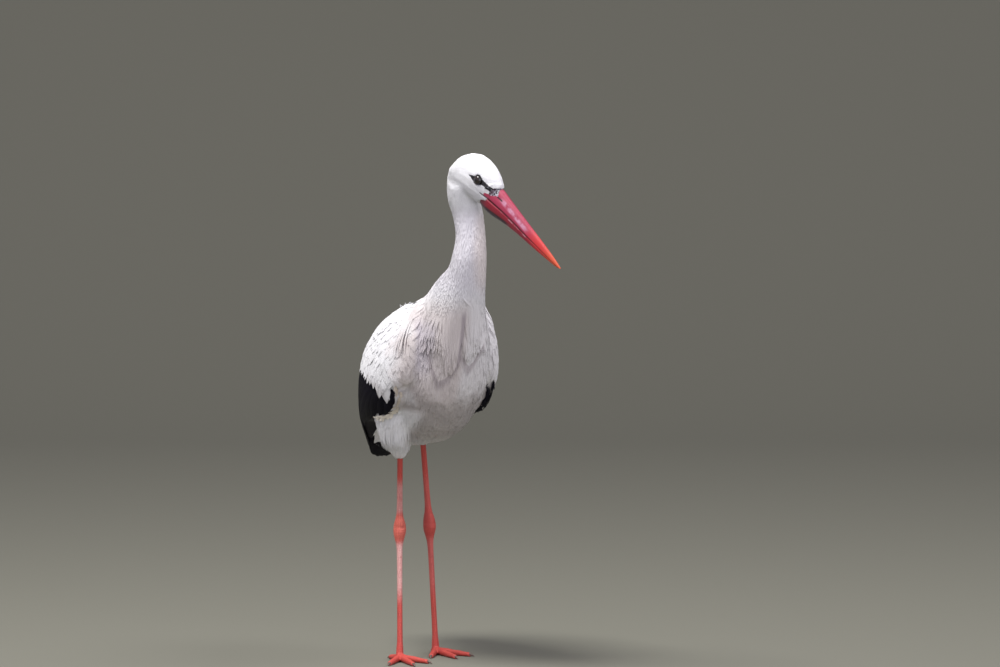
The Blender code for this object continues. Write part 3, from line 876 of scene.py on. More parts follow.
class Web:
    """Short calls for building a node tree; inputs are Values, sockets or plain values."""

    def __init__(self, tree):
        self.tree = tree

    def node(self, kind, sockets=None, **settings):
        made = self.tree.nodes.new(kind)
        for key, value in settings.items():
            setattr(made, key, value)
        for key, value in (sockets or {}).items():
            self.feed(made.inputs[key], value)
        return made

    def feed(self, socket, value):
        if isinstance(value, Value):
            value = value.socket
        if isinstance(value, bpy.types.NodeSocket):
            self.tree.links.new(value, socket)
        elif socket.type == "RGBA" and len(value) == 3:
            socket.default_value = (*value, 1.0)
        else:
            socket.default_value = value

    def value(self, kind, sockets=None, output=0, **settings):
        """One output of a new node."""
        return Value(self, self.node(kind, sockets, **settings).outputs[output])

    def dress(self, surface, sockets):
        """Feed several inputs of one node."""
        for key, value in sockets.items():
            self.feed(surface.inputs[key], value)

    def split(self, vector):
        """The three parts of a vector."""
        made = self.node("ShaderNodeSeparateXYZ", {0: vector})
        return [Value(self, socket) for socket in made.outputs]

    def attribute(self, name):
        return self.value("ShaderNodeAttribute", output="Fac", attribute_name=name)

    def bump(self, strength, distance, height):
        sockets = {"Strength": strength, "Distance": distance, "Height": height}
        return self.value("ShaderNodeBump", sockets)

    def math(self, operation, a, b=0.0, clamp=False):
        return self.value("ShaderNodeMath", {0: a, 1: b}, operation=operation, use_clamp=clamp)

    def band(self, value, low, high):
        """0 below low, 1 above high (or the other way round when low > high)."""
        flip = low > high
        sockets = {"Value": value, "From Min": min(low, high), "From Max": max(low, high),
                   "To Min": float(flip), "To Max": float(not flip)}
        return self.value("ShaderNodeMapRange", sockets, "Result", interpolation_type="SMOOTHSTEP")

    def outline(self, value, rows, scale=1000.0):
        """Straight-line interpolation of rows (at, value), both times scale."""
        at, to = (rows[:, k] * scale for k in (0, 1))
        wide, high = at[-1] - at[0], max(to.max() - to.min(), 1e-6)
        sockets = {"Value": value, "From Min": float(at[0]), "From Max": float(at[-1])}
        share = self.value("ShaderNodeMapRange", sockets, "Result")
        curve = self.node("ShaderNodeFloatCurve", {"Value": share})
        line = curve.mapping.curves[0]
        spots = [(float((a - at[0]) / wide), float((b - to.min()) / high)) for a, b in zip(at, to)]
        line.points[0].location, line.points[1].location = spots[0], spots[-1]
        for spot in spots[1:-1]:
            line.points.new(*spot)
        for point in line.points:
            point.handle_type = "VECTOR"
        curve.mapping.update()
        sockets = {"Value": curve.outputs["Value"], "To Min": float(to.min()), "To Max": float(to.max())}
        return self.value("ShaderNodeMapRange", sockets, "Result")

    def mix(self, share, a, b, blend="MIX"):
        return self.value("ShaderNodeMix", {0: share, 6: a, 7: b}, 2, data_type="RGBA", blend_type=blend)

    def noise(self, where, scale, detail=3.0, rough=0.5, stretch=None):
        if stretch:
            where = self.vector("MULTIPLY", where, stretch)
        sockets = {"Vector": where, "Scale": scale, "Detail": detail, "Roughness": rough}
        return self.value("ShaderNodeTexNoise", sockets, "Fac")

    def vector(self, operation, a, b, output=0):
        return self.value("ShaderNodeVectorMath", {0: a, 1: b}, output, operation=operation)

    def dot(self, where, aim):
        return self.vector("DOT_PRODUCT", where, aim, "Value")

    def minus(self, where, point):
        return self.vector("SUBTRACT", where, point)


def new_group(name, inputs, outputs):
    """An empty shader group with typed sockets; returns (group, Web, input node, output node)."""
    group = bpy.data.node_groups.new(name, "ShaderNodeTree")
    for label, kind in inputs:
        group.interface.new_socket(label, in_out="INPUT", socket_type="NodeSocket" + kind)
    for label, kind in outputs:
        group.interface.new_socket(label, in_out="OUTPUT", socket_type="NodeSocket" + kind)
    web = Web(group)
    return group, web, web.node("NodeGroupInput"), web.node("NodeGroupOutput")


def head_axes(web, place):
    """Ahead, rise and left of a place, in millimetres, as in in_head()."""
    off = web.minus(place, tuple(BILL_BASE))
    return tuple(web.dot(off, tuple(axis * 1000)) for axis in (BILL_AIM, HEAD_UP, HEAD_LEFT))


def plumage_group():
    """White plumage tone by place with painted shade and light, for skin and coat alike: Place -> Color,
    Dark.
    """
    group, web, given, out = new_group("plumage_tone", [("Place", "Vector")],
                                       [("Color", "Color"), ("Dark", "Float")])
    place = given.outputs["Place"]
    x, y, z = web.split(web.minus(place, tuple(HOME)))
    cloud = web.noise(place, 22.0, 4.0, 0.6)
    streak = web.noise(place, 60.0, 3.0, 0.6, stretch=(1.0, 1.0, 0.16))
    wander = (cloud - 0.5) * 0.12

    tone = web.mix(cloud, (0.80, 0.81, 0.84), (0.86, 0.86, 0.87))
    front = web.band(y + wander, -0.105, -0.165)
    breast_z = web.band(z, 0.610, 0.555) * web.band(z, 0.380, 0.430)
    breast = front * breast_z
    # Painted light on the bird's left half of the breast: less of the darker breast tone is mixed in there.
    breast = breast * (0.90 - web.band(x, -0.012, 0.004) * 0.55)
    tone = web.mix(breast, tone, web.mix(streak, (0.54, 0.48, 0.47), (0.76, 0.70, 0.69)))
    # Painted shade: a dark line down the crease where the hanging plumes part.
    groove = web.band(abs(x - GROOVE), 0.0050, 0.0010) * (web.band(z, 0.580, 0.560)
                                                          * web.band(z, 0.470, 0.500))
    groove = groove * web.band(y, -0.15, -0.17)
    tone = web.mix(groove * 0.60, tone, (0.26, 0.22, 0.26))
    # Painted shade: a lavender-grey hollow beside the left lobe, between the wing's shoulder and the breast.
    hollow_shade = web.band(abs(x + 0.0555), 0.013, 0.003) * (web.band(z, 0.565, 0.535) * web.band(z, 0.445, 0.485))
    hollow_shade = hollow_shade * web.band(y, -0.14, -0.17)
    hollow_shade = hollow_shade * (streak * 0.7 + 0.3)
    tone = web.mix(hollow_shade * 0.80, tone, (0.50, 0.47, 0.55))
    # Painted shadow: a darker band just under the tips of the hanging lobes.
    under = z - web.outline(x * 1000.0, LOBE_TIPS) / 1000.0
    shade = web.band(under, 0.0015, -0.0015) * web.band(under, -0.022, -0.006)
    shade = shade * (web.band(y, -0.15, -0.17) * web.band(abs(x - GROOVE), 0.052, 0.036))
    tone = web.mix(shade * 0.65, tone, (0.40, 0.35, 0.37))
    # Belly: buff stains, and darker toward the bottom as painted shade under the body; left off the near
    # side's low flank.
    flank = web.band(x, -0.036, -0.050) * web.band(z, 0.412, 0.400)
    belly = web.band(z + wander, 0.455, 0.405) * web.band(y, 0.10, 0.03)
    belly = belly * (1.0 - flank)
    belly = belly * web.band(z, 0.335, 0.365)
    tone = web.mix(belly * 0.85, tone, web.mix(cloud, (0.27, 0.24, 0.23), (0.49, 0.45, 0.43)))
    neck = web.band(z, 0.575, 0.625) * web.band(z, 0.745, 0.715)
    tone = web.mix(neck * 0.8, tone, web.mix(streak, (0.60, 0.58, 0.64), (0.78, 0.76, 0.81)))
    pink = neck * web.band(x - y, 0.262, 0.285)
    tone = web.mix(pink * 0.7, tone, (0.76, 0.68, 0.64))

    ahead, rise, left = head_axes(web, place)
    middle = web.outline(ahead, EYE_PATCH[:, [0, 1]])
    half = web.outline(ahead, EYE_PATCH[:, [0, 2]])
    ragged = (web.noise(place, 700.0, 2.0) - 0.5) * 1.6
    inside = half + ragged - abs(rise - middle)
    dark = web.band(inside, -0.4, 0.4) * web.band(abs(left), 5.0, 7.5)
    dark = dark * (web.band(ahead, 8.0, 6.0) * web.band(ahead, -48.6, -46.0))
    chin = web.band(rise, -17.0, -19.0) * web.band(ahead, -12.0, -7.0)
    chin = chin * web.band(rise, -40.0, -32.0)
    gape = web.band(abs(rise - 1.9), 1.2, 0.6) * web.band(ahead, -16.0, -14.5)
    bare = web.math("MAXIMUM", web.math("MAXIMUM", chin, gape), dark)
    web.feed(out.inputs["Color"], tone)
    web.feed(out.inputs["Dark"], bare)
    return group


def start_material(name):
    finish = bpy.data.materials.new(name)
    finish.use_nodes = True
    web = Web(finish.node_tree)
    surface = finish.node_tree.nodes["Principled BSDF"]
    return finish, web, surface, web.node("ShaderNodeTexCoord").outputs["Object"]


def feather_lines(web, strength):
    """Fine barbs slanting from the shaft, as bump from the vane map."""
    across, along, _ = web.split(web.value("ShaderNodeUVMap", uv_map="vane"))
    slant = along * 60.0 - abs(across) * 9.0
    return web.bump(strength, 0.0002, web.math("SINE", slant * 6.283))


def white_plumage(tone_group, name="white_plumage", tint=(1.0, 1.0, 1.0)):
    finish, web, surface, place = start_material(name)
    tone = web.node("ShaderNodeGroup", node_tree=tone_group)
    web.feed(tone.inputs["Place"], place)
    # Painted shade: each feather is darker toward its root and lighter to its tip; the random part is each
    # feather's own tone.
    tone_and_root_shade = web.attribute("shade") * 0.10 + web.attribute("along") * 0.12 + 0.84
    grey = web.value("ShaderNodeCombineColor", dict(enumerate([tone_and_root_shade * part for part in tint])))
    colour = web.mix(1.0, tone.outputs["Color"], grey, "MULTIPLY")
    web.dress(surface, {"Base Color": colour, "Normal": feather_lines(web, 0.35), "Roughness": 0.72,
                        "Sheen Weight": 0.15, "Sheen Roughness": 0.5, "Specular IOR Level": 0.25})
    return finish


def black_plumage():
    finish, web, surface, _ = start_material("black_plumage")
    across = abs(web.split(web.value("ShaderNodeUVMap", uv_map="vane"))[0])
    colour = web.mix(web.attribute("shade"), (0.0025, 0.0020, 0.0055), (0.006, 0.005, 0.011))
    colour = web.mix(web.band(across, 0.82, 1.0) * 0.4, colour, (0.020, 0.018, 0.028))
    web.dress(surface, {"Base Color": colour, "Normal": feather_lines(web, 0.6), "Roughness": 0.55,
                        "Specular IOR Level": 0.06})
    return finish


def leg_colour(web, place):
    """Red scaled legs with a dusty bloom: (colour, scale height)."""
    x, _, z = web.split(web.minus(place, tuple(HOME)))
    dust = web.noise(place, 160.0, 5.0, 0.65)
    patch = web.noise(place, 55.0, 3.0, 0.6, stretch=(1.0, 1.0, 0.5))
    red = web.mix(patch, (0.42, 0.045, 0.040), (0.60, 0.085, 0.060))
    pale = web.mix(dust, (0.60, 0.27, 0.25), (0.74, 0.52, 0.49))
    shank = web.band(z, 0.292, 0.270) * web.band(z, 0.226, 0.238)
    upper = web.band(z, 0.192, 0.180) * web.band(z, 0.085, 0.125)
    knee = web.band(z, 0.236, 0.222) * web.band(z, 0.182, 0.196)
    near = web.band(x, -0.005, -0.012)
    bloom = shank * 0.62 + upper * 0.90
    bloom = bloom + knee * 0.15
    bloom = bloom * (near * 0.85 + 0.15)
    bloom = web.math("MULTIPLY", bloom, patch * 0.9 + 0.45, clamp=True)
    colour = web.mix(bloom, red, pale)
    colour = web.mix(knee * (near * 0.7), colour, (0.70, 0.15, 0.10))
    sockets = {"Vector": web.vector("MULTIPLY", place, (1.0, 1.0, 0.72)), "Scale": 360.0, "Randomness": 0.55}
    cells = web.value("ShaderNodeTexVoronoi", sockets, "Distance", feature="DISTANCE_TO_EDGE")
    seam = web.band(cells, 0.0, 0.10)
    colour = web.mix((1.0 - seam) * 0.45, colour, (0.22, 0.03, 0.03))
    return colour, seam


def skin_material(tone_group):
    finish, web, surface, place = start_material("skin")
    tone = web.node("ShaderNodeGroup", node_tree=tone_group)
    web.feed(tone.inputs["Place"], place)
    x, _, z = web.split(web.minus(place, tuple(HOME)))
    wing = web.attribute("flight")
    grey = web.mix(0.18, tone.outputs["Color"], (0.45, 0.42, 0.42))
    colour = web.mix(wing, grey, (0.005, 0.004, 0.009))
    ahead, rise, _ = head_axes(web, place)
    corner = web.band(rise, 2.2, 3.0) * web.band(rise + ahead * (-0.35), 10.4, 9.4)
    corner = corner * (web.band(ahead, -9.5, -7.0) * web.band(rise, 12.0, 10.5))
    colour = web.mix(corner, colour, (0.40, 0.050, 0.095))
    pores = web.noise(place, 900.0, 3.0, 0.6)
    fuzz = web.band(web.noise(place, 420.0, 2.0, 0.5), 0.56, 0.68)
    lore = fuzz * web.band(ahead, -13.0, -7.0)
    dark = web.mix(lore * 0.8, (0.012, 0.011, 0.014), (0.38, 0.40, 0.44))
    colour = web.mix(tone.outputs["Dark"], colour, dark)
    leg, seam = leg_colour(web, place)
    bare = 0.330 + web.band(x, -0.004, 0.004) * 0.013
    is_leg = web.band(z - bare, 0.003, -0.003)
    colour = web.mix(is_leg, colour, leg)
    relief = web.bump(0.5, 0.0005, web.mix(is_leg, pores, seam))
    web.dress(surface, {"Base Color": colour, "Normal": relief, "Roughness": 0.72 - is_leg * 0.20,
                        "Specular IOR Level": 0.4})
    return finish


def bill_material():
    finish, web, surface, place = start_material("bill")
    ahead, rise, left = head_axes(web, place)
    fibre = web.noise(web.value("ShaderNodeCombineXYZ", {0: ahead * 0.03, 1: rise, 2: left}), 1.4, 4.0, 0.6)
    blotch = web.noise(place, 70.0, 4.0, 0.62)
    colour = web.mix(fibre, (0.240, 0.016, 0.045), (0.360, 0.036, 0.080))
    colour = web.mix(web.band(ahead, 78.0, 118.0), colour, (0.46, 0.026, 0.028))
    colour = web.mix(web.band(ahead, 120.0, 166.0), colour, (0.52, 0.078, 0.028))
    seam = 2.5 - web.math("MAXIMUM", ahead - 35.0, 0.0) * 0.028
    over = rise - seam
    under = web.band(over, 0.3, -0.5) * web.band(ahead, 130.0, 80.0)
    colour = web.mix(under * 0.75, colour, (0.230, 0.006, 0.016))
    # Painted highlight: pale pink patches in a band along the upper mandible's upper side.
    middle = 18.6 - ahead * 0.125
    mandible_highlight = web.band(abs(rise - middle), 4.6, 1.4)
    mandible_highlight = mandible_highlight * (web.band(ahead, 14.0, 34.0) * web.band(ahead, 98.0, 74.0))
    mandible_highlight = mandible_highlight * web.band(blotch, 0.36, 0.62)
    colour = web.mix(mandible_highlight * 0.85, colour, (0.50, 0.27, 0.38))
    dark = web.band(abs(over), 1.5, 0.3) * web.band(ahead, 118.0, 92.0)
    colour = web.mix(dark * 0.65, colour, (0.065, 0.008, 0.022))
    chips = web.band(abs(over + 2.2), 1.6, 0.4) * web.band(blotch, 0.50, 0.60)
    chips = chips * (web.band(ahead, 26.0, 42.0) * web.band(ahead, 112.0, 90.0))
    colour = web.mix(chips * 0.60, colour, (0.46, 0.26, 0.30))
    edge = ahead * 0.130 - 17.6
    chin = web.band(rise - edge, 5.6, 3.2) * web.band(ahead, 60.0, 44.0)
    colour = web.mix(chin * 0.95, colour, (0.012, 0.008, 0.014))
    slit = web.band(ahead, 12.0, 14.5) * web.band(ahead, 26.0, 23.0) * web.band(abs(rise - 15.0), 1.3, 0.6)
    colour = web.mix(slit, colour, (0.010, 0.006, 0.008))
    lore = web.band(rise - ahead * 0.62, 7.2, 8.8) * web.band(ahead + rise * 0.645, 24.6, 23.2)
    flecks = web.band(web.noise(place, 420.0, 2.0, 0.5), 0.46, 0.58)
    colour = web.mix(lore, colour, web.mix(flecks, (0.015, 0.012, 0.018), (0.46, 0.46, 0.52)))
    base = web.band(ahead, 6.0, -1.0) * 0.45
    colour = web.mix(base, colour, (0.16, 0.03, 0.05))
    relief = web.bump(0.35, 0.0004, fibre + blotch * 0.5)
    web.dress(surface, {"Base Color": colour, "Normal": relief, "Roughness": 0.34 + blotch * 0.22,
                        "Specular IOR Level": 0.5})
    return finish


def horn_material():
    finish, web, surface, place = start_material("claw")
    grain = web.noise(place, 500.0, 3.0, 0.6)
    colour = web.mix(grain, (0.06, 0.040, 0.035), (0.17, 0.11, 0.09))
    web.dress(surface, {"Base Color": colour, "Roughness": 0.38 + grain * 0.2})
    return finish


def eye_material():
    finish, web, surface, place = start_material("eye")
    ahead, rise, _ = head_axes(web, place)
    off = web.math("SQRT", (ahead - (EYE[0] * 1000)) ** 2.0 + (rise - (EYE[1] * 1000)) ** 2.0)
    rays = web.noise(place, 900.0, 2.0)
    iris = web.mix(rays, (0.010, 0.006, 0.005), (0.026, 0.013, 0.009))
    colour = web.mix(web.band(off, 2.5, 2.9), (0.002, 0.002, 0.002), iris)
    colour = web.mix(web.band(off, 5.0, 5.6), colour, (0.008, 0.006, 0.006))
    web.dress(surface, {"Base Color": colour, "Roughness": 0.04, "Coat Weight": 0.6, "Coat Roughness": 0.02})
    return finish


# ------------------------------------------------------- bill, eyes, claws
# Rows are ahead, ridge height, half width; then the line where the mandibles meet.
UPPER = [(-0.016, .0244, .0110), (0, .0254, .0128), (.012, .0248, .0122), (.030, .0223, .0107),
         (.060, .0183, .0086), (.090, .0146, .0069), (.120, .0108, .0052), (.150, .0065, .0034),
         (.1735, .0016, .0013)]
LOWER = [(-0.013, -.0198, .0106), (0, -.0214, .0124), (.015, -.0208, .0115), (.040, -.0156, .0093),
         (.070, -.0112, .0074), (.100, -.0090, .0059), (.130, -.0066, .0042), (.158, -.0036, .0023),
         (.169, -.0018, .0011)]
GAPE = np.array([(-0.016, .0018), (0, .0010), (.015, .0015), (.035, .0025), (.060, .0021), (.090, .0009),
                 (.120, .0003), (.175, -.0001)])


def mandible(name, rows, up):
    """One half of the bill: rounded ridge, thin cutting edge, nostril slit above."""
    rings = []
    for ahead, height, half in spline(rows, 28):
        gape = np.interp(ahead, *GAPE.T) + 0.0002 * up
        turns = np.linspace(0, math.pi, 25)
        rise = gape + (height - gape) * np.sin(turns) ** 0.86
        left = half * np.sign(np.cos(turns)) * np.abs(np.cos(turns)) ** 0.92
        left = left * (1 - 0.06 * np.sin(2 * turns) ** 2)
        if up > 0:
            slit = np.exp(-((ahead - 0.0190) / 0.0050) ** 4 - ((rise - 0.0150) / 0.0009) ** 2)
            trail = 0.0145 - 0.06 * max(ahead - 0.02, 0)
            groove = np.exp(-((rise - trail) / 0.0013) ** 2) * math.exp(-((ahead - 0.034) / 0.03) ** 2)
            left = left * (1 - 0.16 * slit - 0.035 * groove)
        inner = np.linspace(-1, 1, 9)[1:-1]
        under = np.stack([inner * half * 0.98, np.full(7, gape + 0.0002 * up)], -1)
        profile = np.vstack([np.stack([left, rise], -1), under])
        rings.append([head_point(ahead, r, l) for l, r in profile])
    return loft_mesh(name, rings)


def eye_frame(way):
    """Middle of one eye and its axes: ahead, up and outward."""
    return np.array(head_point(*EYE, way * EYE_SIDE)), np.array([BILL_AIM, HEAD_UP, HEAD_LEFT * way])


def eye_mesh(way, sectors=48, levels=32):
    middle, axes = eye_frame(way)
    rings = []
    for fall in np.linspace(0.02, math.pi - 0.02, levels):
        turns = turns_of(sectors)
        flat = np.stack([np.cos(turns) * math.sin(fall), np.sin(turns) * math.sin(fall),
                         np.full(sectors, math.cos(fall))], -1)
        rings.append(middle + EYE_RADIUS * flat @ axes)
    return loft_mesh("eye", rings)


LID_SECTORS, LID_SIDES = 64, 8


def lid_mesh(way):
    """A thin ring of skin round the visible eye, almond-shaped, lying on the ball."""
    middle, axes = eye_frame(way)
    verts = []
    for turn in turns_of(LID_SECTORS):
        wide = 0.0060 + 0.0006 * abs(math.cos(turn)) ** 3
        high = 0.0055 - 0.0004 * (math.sin(turn) > 0)
        spot = np.array([wide * math.cos(turn), high * math.sin(turn), 0.0])
        spot[2] = math.sqrt(max(EYE_RADIUS ** 2 - spot[0] ** 2 - spot[1] ** 2, 0))
        out = unit(np.array([math.cos(turn), math.sin(turn), 0.0]))
        up = unit(spot)
        for roll in turns_of(LID_SIDES):
            verts.append(middle + (spot + out * 0.0009 * math.cos(roll) + up * 0.0007
                                   * math.sin(roll)) @ axes)
    index = np.arange(LID_SECTORS * LID_SIDES).reshape(LID_SECTORS, LID_SIDES)
    ahead, across = np.roll(index, -1, 0), np.roll(index, -1, 1)
    quads = np.stack([index, ahead, np.roll(ahead, -1, 1), across], -1).reshape(-1, 4)
    mesh = mesh_from_arrays("lid", np.array(verts), quads)
    face_outward(mesh)
    return mesh


def lid_material():
    finish, web, surface, place = start_material("lid")
    grain = web.noise(place, 1200.0, 2.0)
    colour = web.mix(grain, (0.008, 0.008, 0.010), (0.030, 0.028, 0.032))
    web.dress(surface, {"Base Color": colour, "Normal": web.bump(0.4, 0.0002, grain), "Roughness": 0.42})
    return finish


def claw_meshes():
    copies = []
    for name in CLAWS:
        claw = join_meshes("claw", [nodes[name].data], CLAW_WELD)
        copies.append(modified("claw", claw, "SUBSURF", levels=2))
    mesh = join_meshes("claws", copies)
    mesh.shade_smooth()
    return mesh


def piece(name, mesh, finish, slot, *replaced):
    thing = new_object(name, mesh)
    mesh.materials.clear()
    mesh.materials.append(finish)
    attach(thing, "root")
    if replaced:
        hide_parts(*replaced)
    return thing


# ------------------------------------------------------------------- tracts
def tract(name, area, spacing, seed, lie, length, half, steps, section, thickness, tip, finish, slot,
          mesh=body_outline, tree=BODY_TREE, unwrap=unwrap_body, taper=None, sway=0.12, depth=None,
          droop=0.0, loose=1.0, steady=-1.0):
    """Scatter one kind of feather over an area and join them in one piece.

    length, half: (low, high) in metres, or a function of the roots; tip: rise at the feather's end;
    steady: a feather is left out where the surface turns away more than this cosine along it.
    """
    roots, rng = surface_points(mesh, area, spacing, seed)
    count = len(roots)
    chance = rng.random(count)
    lengths = length(roots, chance) if callable(length) else length[0] + (length[1] - length[0]) * chance
    halves = half(roots, chance) if callable(half) else half[0] + (half[1] - half[0]) * rng.random(count)
    path, normal = follow(roots, lengths, lie, tree, steps, rng.normal(0, sway, count), loose)
    kept = (normal * normal[:, :1]).sum(-1).min(1) > steady
    roots, path, normal, halves = roots[kept], path[kept], normal[kept], halves[kept]
    count = len(roots)
    if taper is None:
        taper = np.sin(np.linspace(0.10, 0.96, steps) * math.pi) ** 0.7
    depths = coat_depth(roots) if depth is None else np.full(count, depth)
    share = np.linspace(0, 1, steps)[None, :]
    ends = (tip * (0.5 + rng.random(count)))[:, None]
    rise = -depths[:, None] * (1 - share) ** 1.6 + ends * share ** 1.4
    mesh = shape_feathers(name, path, normal, halves, taper, thickness, rise, section, unwrap,
                          rng.random(count), droop)
    return piece(name, mesh, finish, slot)


LANCE = np.array([0.35, 0.80, 1.0, 0.95, 0.80, 0.55, 0.28, 0.02])
ROUND = np.array([0.30, 0.80, 1.0, 1.03, 0.98, 0.80, 0.42, 0.04])


def side_hits(way, y, z):
    """Outline points and normals where level rays from one side first meet the bird."""
    hits, kept = [], []
    for n, (a, b) in enumerate(zip(y, z)):
        start = HOME + Vector((way * 0.4, a, b))
        place = BODY_TREE.ray_cast(start, Vector((-way, 0, 0)), 0.395)[0]
        if place is not None:
            hits.append(place)
            kept.append(n)
    return np.array(hits), np.array(kept)


def wing_coverts(side, finish):
    """White coverts in staggered rows above the wing line, largest at its edge."""
    way = SIDES[side]
    rng = np.random.default_rng(40 + way)
    y_all, z_all, size = [], [], []
    for row in range(17):
        lift = 0.034 + 0.0105 * row
        grade = 1 - 0.030 * row
        step = 0.0100 * (1 - 0.018 * row)
        places = np.arange(-0.185 + (row % 2) * step / 2, 0.185, step)
        places = places + rng.normal(0, 0.0012, len(places))
        heights = wing_line_height(places) + lift + rng.normal(0, 0.0014, len(places))
        keep = heights < np.interp(places, WING_TOP[:, 0], WING_TOP[:, 1]) + 0.012
        y_all.append(places[keep])
        z_all.append(heights[keep])
        size.append(np.full(keep.sum(), grade))
    y, z, size = map(np.concatenate, (y_all, z_all, size))
    roots, kept = side_hits(way, y, z)
    on_wing = np.isin(part_at(roots), ["wing"])
    roots, size = roots[on_wing], size[kept][on_wing]
    count, steps = len(roots), 8
    path, normal = follow(roots, 0.037 * size * (0.92 + 0.16 * rng.random(count)), lie_coverts, BODY_TREE,
                          steps,
                          rng.normal(0, 0.08, count))
    share = np.linspace(0, 1, steps)[None, :]
    rise = -0.002 * (1 - share) ** 1.5 + (0.0005 + 0.0005 * rng.random(count))[:, None] * share
    mesh = shape_feathers("wing_coverts_" + side, path, normal, 0.0105 * size, ROUND, 0.0005, rise, VANE,
                          unwrap_body, rng.random(count), droop=0.05)
    return piece("wing_coverts_" + side, mesh, finish, "white_feather")


def flight_feathers(side, finish):
    """Black feathers of the folded wing: secondaries, primaries and tertials."""
    way = SIDES[side]
    rng = np.random.default_rng(60 + way)
    rows = []

    def add(y, z, aim, half, lift, spare=0.0015):
        """One feather from (y, z) along aim until it meets the wing's lower rim."""
        aim = unit(np.array((0.0, *aim)))
        reach = np.arange(0.012, 0.200, 0.001)
        over = (z + aim[2] * reach > np.interp(y + aim[1] * reach, *BLACK_RIM.T)) & (y + aim[1]
                                                                                     * reach < 0.180)
        length = reach[np.argmin(over)] if not over.all() else reach[-1]
        rows.append((y, z, 1.03 * length + spare, half, aim, lift))

    front = BLACK_FRONT + 0.003 if way < 0 else -0.134
    for y in np.arange(front, 0.080, 0.0088):             # secondaries, tips along the lower rim
        share = float(smoothstep(-0.125, -0.060, y))
        aim = (0.30 + 0.58 * share, -0.92 + 0.45 * share)
        add(y, float(wing_line_height(y)) + 0.007, aim, 0.0062 + 0.0055 * share, 0.0009)
    for k in range(9):                                    # primaries, tips together at the rear
        add(-0.045 + 0.018 * k, 0.402 - 0.0035 * k, (0.93, -0.36), 0.0095, 0.0003)
    for k in range(9):                                    # tertials down the rear edge
        y = 0.020 + 0.0130 * k
        add(y, float(wing_line_height(y)) + 0.010, (0.66 - 0.02 * k, -0.75), 0.0125, 0.0007)
    table = np.array([(y, z, length, half, lift) for y, z, length, half, _, lift in rows])
    aims = np.array([aim for *_, aim, _ in rows])
    roots, kept = side_hits(way, table[:, 0], table[:, 1])
    table, aims = table[kept], aims[kept]
    count, steps = len(roots), 12
    path, normal = follow(roots, table[:, 2] * (0.98 + 0.04 * rng.random(count)),
                          lambda points: unit(aims), BODY_TREE, steps, rng.normal(0, 0.02, count))
    share = np.linspace(0, 1, steps)[None, :]
    rise = -0.0015 * (1 - share) + (table[:, 4:5] + 0.0006 * rng.random((count, 1))) * share
    taper = np.array([0.35, 0.75, 0.95, 1.0, 1.0, 1.0, 1.0, 0.98, 0.92, 0.76, 0.45, 0.04])
    mesh = shape_feathers("black_feathers_" + side, path, normal, table[:, 3], taper, 0.0008, rise, VANE,
                          unwrap_body, rng.random(count), droop=0.06)
    return piece("black_feathers_" + side, mesh, finish, "black_feather")


def edge_feathers(side, finish):
    """A curved row of small cream feathers below the front of the black flight feathers."""
    way = SIDES[side]
    rng = np.random.default_rng(70 + way)
    line = np.array([(-0.133, 0.447), (-0.128, 0.432), (-0.119, 0.419), (-0.107, 0.408), (-0.092, 0.399),
                     (-0.074, 0.392), (-0.046, 0.386)])
    turns = np.sort(rng.random(46)) * (len(line) - 1)
    y, z = (np.interp(turns, np.arange(len(line)), line[:, k]) for k in (0, 1))
    roots, kept = side_hits(way, y, z)
    aims = np.stack([0 * y, np.gradient(y), np.gradient(z)], -1)[kept]
    count = len(roots)
    path, normal = follow(roots, 0.010 + 0.006 * rng.random(count), lambda points: unit(aims), BODY_TREE, 7,
                          rng.normal(0, 0.30, count))
    rise = np.array([-0.001, 0.0004, 0.0010, 0.0014, 0.0017, 0.0018, 0.0016]) * (0.7 + 0.6
                                                                                 * rng.random((count, 1)))
    mesh = shape_feathers("edge_feathers_" + side, path, normal, 0.0013 + 0.0012 * rng.random(count),
                          [0.4, 0.9, 1.0, 1.0, 0.85, 0.5, 0.03], 0.0004, rise, VANE, unwrap_body,
                          rng.random(count))
    return piece("edge_feathers_" + side, mesh, finish, "white_feather")


def stray_feather(finish):
    """One small white feather lying across the top of the groove."""
    start = np.array(HOME + Vector((-0.0175, -0.262, 0.5960)))
    share = np.linspace(0, 1, 7)[:, None]
    points = start + share * np.array((0.0135, 0.0, -0.0150))
    path, normal = follow(points, np.zeros(7), constant((0.6, 0, -0.8)), BODY_TREE, 2, np.zeros(7))
    rise = np.array([0.0, 0.0030, 0.0042, 0.0048, 0.0052, 0.0052, 0.0050])
    mesh = shape_feathers("stray_feather", path[None, :, 0], normal[None, :, 0], np.array([0.0016]),
                          [0.4, 0.9, 1.0, 1.0, 0.85, 0.55, 0.03], 0.0004, rise, VANE,
                          lambda points: np.full((len(points), 2), 0.5), np.ones(1))
    return piece("stray_feather", mesh, finish, "breast_feather")


def tail_feathers(finish):
    """Twelve white tail feathers, fanned a little, over the tail's solid."""
    roots, aims = [], []
    for k in range(12):
        a = (k - 5.5) / 5.5
        hit = BODY_TREE.ray_cast(HOME + Vector((0.024 * a, 0.085, 0.60)), Vector((0, 0, -1)), 0.4)[0]
        roots.append(hit)
        aims.append((0.10 * a, 0.86, -0.50))
    roots, aims = np.array(roots), np.array(aims)
    path, normal = follow(roots, np.full(12, 0.112), lambda points: unit(aims), BODY_TREE, 10, np.zeros(12))
    share = np.linspace(0, 1, 10)[None, :]
    rise = -0.001 + 0.0016 * share + 0.0004 * np.arange(12)[:, None] % 3
    taper = np.array([0.4, 0.8, 0.95, 1.0, 1.0, 1.0, 0.97, 0.85, 0.55, 0.05])
    mesh = shape_feathers("tail_feathers", path, normal, np.full(12, 0.0115), taper, 0.0009, rise, VANE,
                          unwrap_body, np.linspace(0, 1, 12), droop=0.08)
    return piece("tail_feathers", mesh, finish, "white_feather")


